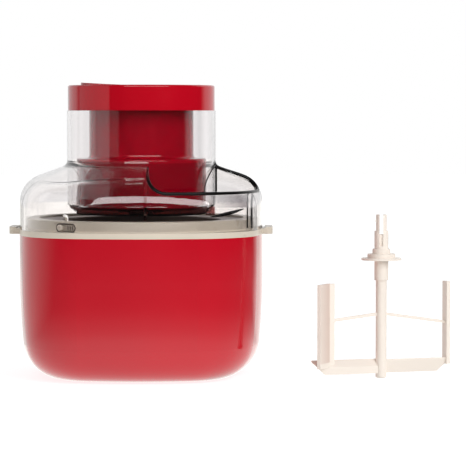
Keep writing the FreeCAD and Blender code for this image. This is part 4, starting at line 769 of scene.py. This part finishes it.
def lid_plastic(tint):
    """Clear plastic with a painted red reflection in its well, and painted grey shade on its chute wall and
    edge-on walls.
    """
    clear = clear_moulding("lid_clear", tint)
    tree = clear.node_tree
    # painted reflection: the bottom of the well turns red, as the drum mirrored in it
    well = maths(tree, "MULTIPLY", before(clear, "Z", WELL_BOTTOM), within(clear, NECK_RADIUS))
    paint_lighting(clear, well, srgb(*WELL_PAINTED_REFLECTION))
    # painted shade: the chute wall turns grey towards the right, as the dark chute seen through the lid
    wall = maths(tree, "MULTIPLY", between(clear, "Y", *CHUTE_WALL), between(clear, "Z", *CHUTE_RISE))
    shade = maths(tree, "MULTIPLY", wall, rising(clear, "X", *CHUTE_REACH))
    paint_lighting(clear, shade, srgb(*CHUTE_PAINTED_SHADE))
    # painted shade: walls seen edge on turn grey
    slant = tree.nodes.new("ShaderNodeLayerWeight")
    paint_lighting(clear, ramp(tree, slant.outputs["Facing"], *LID_SLANT), srgb(*LID_EDGE_SHADE))
    return clear


def dress(material, *names):
    """Give the CAD nodes this material in every slot."""
    for name in names:
        node = NODES[name]
        if not node.data.materials:
            node.data.materials.append(material)
        for slot in node.material_slots:
            slot.material = material


class CastOperator:
    """Base of the operators: they work on the open scene and keep undo."""
    bl_options = {"REGISTER", "UNDO"}


class ICECREAM_OT_casing(CastOperator, bpy.types.Operator):
    """Red casing and the pad under it"""
    bl_idname = "icecream.casing"
    bl_label = "Casing"

    def execute(self, context):
        dress(coloured("casing_red", context.scene.maker_colours), "outer_casing")
        dress(plain("pad_black", drift=PAD_DRIFT), "base_pad")
        return {"FINISHED"}


class ICECREAM_OT_rim(CastOperator, bpy.types.Operator):
    """Cream rim with its ears and catches, and the seal"""
    bl_idname = "icecream.rim"
    bl_label = "Rim"

    def execute(self, context):
        colours = context.scene.maker_colours
        sizes = context.scene.maker_sizes
        cream = coloured("rim_cream", colours)
        # painted shade on the band above the rim's lip, for the lid's shade
        paint_lighting(cream, beyond(cream, "Z", BAND_SHADE_START), colours.band)
        dress(cream, "rim_ring")
        dress(plain("seal_grey"), "rim_seal", "fill_plug")
        grey = coloured("catch_shaded_grey", colours)
        pale = plain("catch_pale")
        dark = plain("catch_dark")
        white = plain("hook_painted_highlight")
        face = oval(CATCH_HALF - CATCH_BORDER, CATCH_RISE - CATCH_BORDER)
        knob = oval(CATCH_BUTTON, CATCH_BUTTON)
        strip = oval(RIB_HALF, RIB_RISE)
        radius = sizes.hook / MILLIMETRE
        height = sizes.hook_height / MILLIMETRE
        for name, side in CATCH_SIDES.items():
            # painted shade: the grey plate and dark ring darken the catch's recess
            plate = catch_pad(face, CATCH_PLATE, 0.0, side)
            smooth_piece(f"catch_plate_{name}", plate, grey, "freezer_bowl")
            smooth_piece(f"catch_shade_ring_{name}", catch_shade_ring(side), dark, "freezer_bowl")
            button = catch_pad(knob, CATCH_DOME, CATCH_RISE - CATCH_HALF, side)
            smooth_piece(f"catch_button_{name}", button, pale, "freezer_bowl")
            # painted highlight: the white hook stands for the glint above the catch
            hook = catch_hook(side, radius, height)
            smooth_piece(f"catch_hook_{name}", hook, white, "freezer_bowl")
            for number, spot in enumerate(RIB_SPOTS, 1):
                rib = catch_pad(strip, CATCH_RIB, spot, side)
                smooth_piece(f"catch_rib_{name}_{number}", rib, dark, "freezer_bowl")
        return {"FINISHED"}


class ICECREAM_OT_bowl(CastOperator, bpy.types.Operator):
    """Freezer bowl: dark liner, outer shell and the gel between them"""
    bl_idname = "icecream.bowl"
    bl_label = "Freezer Bowl"

    def execute(self, context):
        liner = coloured("liner_dark", context.scene.maker_colours)
        set_shader(liner, "Metallic", LINER_METALLIC)
        dress(liner, "bowl_liner")
        dress(plain("shell_grey"), "bowl_shell")
        dress(plain("gel_blue"), "coolant_gel")
        return {"FINISHED"}


class ICECREAM_OT_lid(CastOperator, bpy.types.Operator):
    """Clear lid with its neck, well and pouring spout"""
    bl_idname = "icecream.lid"
    bl_label = "Clear Lid"

    def execute(self, context):
        sizes = context.scene.maker_sizes
        dress(lid_plastic(context.scene.maker_colours.lid), "clear_lid")
        # painted shade: dark bars where the lid's clear edges look dark
        shade_bars = plain("painted_edge_shade")
        set_shader(shade_bars, "Specular IOR Level", SHADE_BAR_SPECULAR)
        thick = sizes.bead / MILLIMETRE
        edges = {
            "spout_shade_bead": spout_bead(thick, sizes.bead_thin / MILLIMETRE),
            "well_edge": upright_bar(WELL_REACH, 0.0, SILL - thick, CONE_TOP - thick,
                                     sizes.well_edge / MILLIMETRE),
            "well_arc": well_arc(sizes.well_arc / MILLIMETRE),
            "chute_shade_bar": chute_shade_bar(sizes.chute_edge / MILLIMETRE),
        }
        for number, (across, depth, radius) in enumerate(CORNER_SHADE_BARS, 1):
            edges[f"corner_rib_{number}"] = upright_bar(across, depth, CORNER_SHADE_LOW, SILL - thick, radius)
        for name, surface in edges.items():
            smooth_piece(name, surface, shade_bars, "lid")
        return {"FINISHED"}


class ICECREAM_OT_cap(CastOperator, bpy.types.Operator):
    """Red cap with the rocker in its top and the gland at its back"""
    bl_idname = "icecream.cap"
    bl_label = "Cap and Rocker"

    def execute(self, context):
        red = coloured("cap_red", context.scene.maker_colours)
        dress(red, "top_cap", "power_rocker")
        smooth_piece("rocker_face", rocker_face(), red, "rocker")
        dress(plain("gland_black"), "cord_gland")
        dress(plain("switch_black"), "switch_block")
        return {"FINISHED"}


class ICECREAM_OT_motor(CastOperator, bpy.types.Operator):
    """Motor housing, drum, and the motor and gears inside them"""
    bl_idname = "icecream.motor"
    bl_label = "Motor and Gears"

    def execute(self, context):
        colours = context.scene.maker_colours
        # painted shade: darker reds on the motor housing and drum under the lid
        dress(coloured("motor_shaded_red", colours), "motor_housing")
        dress(coloured("drum_shaded_red", colours), "gear_drum")
        dress(metal("plated_steel"), "rocker_pin", "gear_plate", "gear_pillars", "idler_pin", "drum_screws",
              "cap_screws", "motor_can", "rotor_shaft", "thrust_washer")
        dress(metal("sintered_bronze"), "shaft_bushes", "drive_bush")
        dress(metal("copper_wire"), "stator_coil")
        dress(plain("magnet_grey"), "rotor_magnet")
        dress(plain("gear_white"), "motor_pinion", "reduction_gear", "drive_gear", "drive_socket")
        return {"FINISHED"}


class ICECREAM_OT_paddle(CastOperator, bpy.types.Operator):
    """Mixing paddle and the splash disc on its stem"""
    bl_idname = "icecream.paddle"
    bl_label = "Mixing Paddle"

    def execute(self, context):
        white = coloured("paddle_white", context.scene.maker_colours)
        # painted shade: the blade's inner face turns darker and pinker across its width
        shade = rising(white, "X", *BLADE_FACE, start=BLADE_SHADE)
        face = maths(white.node_tree, "MULTIPLY", shade, between(white, "Z", *BLADE_RISE))
        paint_lighting(white, face, srgb(*BLADE_PAINTED_SHADE))
        dress(white, "mixing_paddle", "splash_disc")
        return {"FINISHED"}


def soft_box(name, place, target, size, power, mirrored=True, soft=True):
    """Rectangular area lamp at a place, turned to a target, for mirror images, soft light or both."""
    lamp = bpy.data.lights.new(name, "AREA")
    lamp.shape = "RECTANGLE"
    lamp.size, lamp.size_y = size
    lamp.energy = power
    item = bpy.data.objects.new(name, lamp)
    item.visible_camera = False
    item.visible_diffuse = soft
    item.visible_glossy = mirrored
    item.visible_transmission = mirrored
    item.location = place
    item.rotation_euler = (Vector(target) - Vector(place)).to_track_quat("-Z", "Y").to_euler()
    bpy.context.scene.collection.objects.link(item)


def sight_lines(tree, path):
    """1 for rays that come from the eye, straight or through clear walls with no mirror bounce between."""
    bounces = maths(tree, "ADD", path["Glossy Depth"], path["Diffuse Depth"])
    unbounced = maths(tree, "LESS_THAN", bounces, HALF_BOUNCE)
    through = maths(tree, "MULTIPLY", unbounced, path["Is Transmission Ray"])
    return maths(tree, "MAXIMUM", through, path["Is Camera Ray"])


def studio_world():
    """White wall behind the machine and a dim room on the camera's side, with an even glow for soft light."""
    world = bpy.data.worlds.new("studio")
    world.use_nodes = True
    tree = world.node_tree
    tree.nodes.clear()
    out = tree.nodes.new("ShaderNodeOutputWorld")
    place = tree.nodes.new("ShaderNodeTexCoord")
    split = tree.nodes.new("ShaderNodeSeparateXYZ")
    tree.links.new(place.outputs["Generated"], split.inputs[0])
    wall = ramp(tree, split.outputs["Y"], *WALL_TURN, *WALL_LEVELS)
    path = tree.nodes.new("ShaderNodeLightPath").outputs
    sight = maths(tree, "MAXIMUM", wall, sight_lines(tree, path))
    scattered = maths(tree, "GREATER_THAN", path["Diffuse Depth"], HALF_BOUNCE)
    soft = maths(tree, "MULTIPLY", scattered, ROOM_GLOW)
    hard = maths(tree, "SUBTRACT", 1.0, scattered)
    shade = tree.nodes.new("ShaderNodeBackground")
    shade.inputs["Color"].default_value = (1.0, 1.0, 1.0, 1.0)
    tree.links.new(maths(tree, "MULTIPLY_ADD", hard, sight, soft), shade.inputs["Strength"])
    tree.links.new(shade.outputs[0], out.inputs["Surface"])
    bpy.context.scene.world = world


def towards(tree, place, direction):
    """How nearly a spot on the table lies in a level direction from the machine: the angle's cosine."""
    heading = vector_maths(tree, "NORMALIZE", "Vector", place)
    return vector_maths(tree, "DOT_PRODUCT", "Value", heading, direction)


def near_glow(tree, away):
    """Brightness of the lit table as gloss mirrors it: full under the machine, less with the distance."""
    fade = tree.nodes.new("ShaderNodeFloatCurve")
    curve = fade.mapping.curves[0]
    for share, level in TABLE_GLOW:
        curve.points.new(share, level)
    fade.mapping.update()
    tree.links.new(ramp(tree, away, TABLE_REACH, 0.0), fade.inputs["Value"])
    return maths(tree, "MULTIPLY", fade.outputs["Value"], TABLE_PEAK)


def mirrored_table(tree, place):
    """Brightness of the table in gloss: the most of the glow near the machine, at its back and its left."""
    away = vector_maths(tree, "LENGTH", "Value", place)
    faded = ramp(tree, away, *BACK_FADE)
    behind = maths(tree, "SUBTRACT", towards(tree, place, TABLE_BACK), faded)
    back = ramp(tree, behind, *BACK_SPREAD, 0.0, BACK_PEAK)
    left = ramp(tree, towards(tree, place, TABLE_LEFT), *LEFT_SPREAD, 0.0, LEFT_PEAK)
    return maths(tree, "MAXIMUM", near_glow(tree, away), maths(tree, "MAXIMUM", back, left))


def pale_floor():
    """White table: a diffuse sheet that glows for sight lines, and a plain glow for gloss and soft light."""
    material = bpy.data.materials.new("floor_paper")
    material.use_nodes = True
    tree = material.node_tree
    tree.nodes.clear()
    out = tree.nodes.new("ShaderNodeOutputMaterial")
    path = tree.nodes.new("ShaderNodeLightPath").outputs
    place = tree.nodes.new("ShaderNodeTexCoord").outputs["Object"]
    paper = tree.nodes.new("ShaderNodeBsdfDiffuse")
    paper.inputs["Color"].default_value = (PAPER_GREY, PAPER_GREY, PAPER_GREY, 1.0)
    glow = tree.nodes.new("ShaderNodeEmission")
    tree.links.new(maths(tree, "MULTIPLY", sight_lines(tree, path), PAPER_GLOW), glow.inputs["Strength"])
    seen = tree.nodes.new("ShaderNodeAddShader")
    tree.links.new(paper.outputs[0], seen.inputs[0])
    tree.links.new(glow.outputs[0], seen.inputs[1])
    mirrored = maths(tree, "MULTIPLY", path["Is Glossy Ray"], mirrored_table(tree, place))
    split = tree.nodes.new("ShaderNodeSeparateXYZ")
    tree.links.new(place, split.inputs[0])
    bounced = ramp(tree, split.outputs["X"], *TABLE_BOUNCE)
    scattered = maths(tree, "MULTIPLY", path["Is Diffuse Ray"], bounced)
    lit = tree.nodes.new("ShaderNodeEmission")
    lit.inputs["Color"].default_value = (*TABLE_WARMTH, 1.0)
    tree.links.new(maths(tree, "MAXIMUM", mirrored, scattered), lit.inputs["Strength"])
    blend = tree.nodes.new("ShaderNodeMixShader")
    tree.links.new(maths(tree, "MAXIMUM", path["Is Glossy Ray"], path["Is Diffuse Ray"]), blend.inputs["Fac"])
    tree.links.new(seen.outputs[0], blend.inputs[1])
    tree.links.new(lit.outputs[0], blend.inputs[2])
    tree.links.new(blend.outputs[0], out.inputs["Surface"])
    return material


def photo_camera(studio):
    """Camera in front of the machine, tipped so that the horizon falls on its row of the picture."""
    lens = bpy.data.cameras.new("camera")
    lens.sensor_width = SENSOR_WIDTH
    lens.lens = studio.focal_pixels / PHOTO_PIXELS * SENSOR_WIDTH
    lens.clip_start = NEAR_CLIP
    camera = bpy.data.objects.new("camera", lens)
    camera.location = (studio.aside, -studio.distance, studio.height)
    drop = math.atan2(PHOTO_PIXELS / 2 - studio.horizon_row, studio.focal_pixels)
    camera.rotation_euler = (math.radians(90) - drop, 0.0, 0.0)
    return camera


class ICECREAM_OT_stage(CastOperator, bpy.types.Operator):
    """Floor, white surround, lamps and the camera"""
    bl_idname = "icecream.stage"
    bl_label = "Stage"

    def execute(self, context):
        scene = context.scene
        scene.view_settings.view_transform = "Standard"
        studio_world()
        left, front = FLOOR_LOW
        right, back = FLOOR_HIGH
        corners = np.array([[left, front, 0.0], [right, front, 0.0], [right, back, 0.0], [left, back, 0.0]])
        floor = new_mesh_object("floor", corners, [np.array([[0, 1, 2, 3]])])
        floor.data.materials.append(pale_floor())
        for name, settings in LAMPS.items():
            soft_box(name, **settings)
        camera = photo_camera(scene.maker_studio)
        scene.collection.objects.link(camera)
        scene.camera = camera
        return {"FINISHED"}


OPERATORS = (ICECREAM_OT_casing, ICECREAM_OT_rim, ICECREAM_OT_bowl, ICECREAM_OT_lid, ICECREAM_OT_cap,
             ICECREAM_OT_motor, ICECREAM_OT_paddle, ICECREAM_OT_stage)


class ICECREAM_PT_sidebar(bpy.types.Panel):
    """Sidebar list of the machine's pieces, and its colours, sizes and camera"""
    bl_idname = "ICECREAM_PT_sidebar"
    bl_label = "Ice Cream Maker"
    bl_space_type = "VIEW_3D"
    bl_region_type = "UI"
    bl_category = "Ice Cream Maker"

    def draw(self, context):
        scene = context.scene
        for operator in OPERATORS:
            self.layout.operator(operator.bl_idname)
        for group in (scene.maker_colours, scene.maker_sizes, scene.maker_studio):
            for name in group.bl_rna.properties.keys():
                if name not in ("rna_type", "name"):
                    self.layout.prop(group, name)


CLASSES = (MakerColours, MakerSizes, StudioSettings, *OPERATORS, ICECREAM_PT_sidebar)


def register():
    for item in CLASSES:
        bpy.utils.register_class(item)
    bpy.types.Scene.maker_colours = PointerProperty(type=MakerColours)
    bpy.types.Scene.maker_sizes = PointerProperty(type=MakerSizes)
    bpy.types.Scene.maker_studio = PointerProperty(type=StudioSettings)


def unregister():
    del bpy.types.Scene.maker_studio
    del bpy.types.Scene.maker_sizes
    del bpy.types.Scene.maker_colours
    for item in reversed(CLASSES):
        bpy.utils.unregister_class(item)


def main():
    """Build the stage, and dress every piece."""
    register()
    bpy.ops.icecream.stage()
    bpy.ops.icecream.casing()
    bpy.ops.icecream.rim()
    bpy.ops.icecream.bowl()
    bpy.ops.icecream.lid()
    bpy.ops.icecream.cap()
    bpy.ops.icecream.motor()
    bpy.ops.icecream.paddle()


if __name__ == "__main__":
    main()
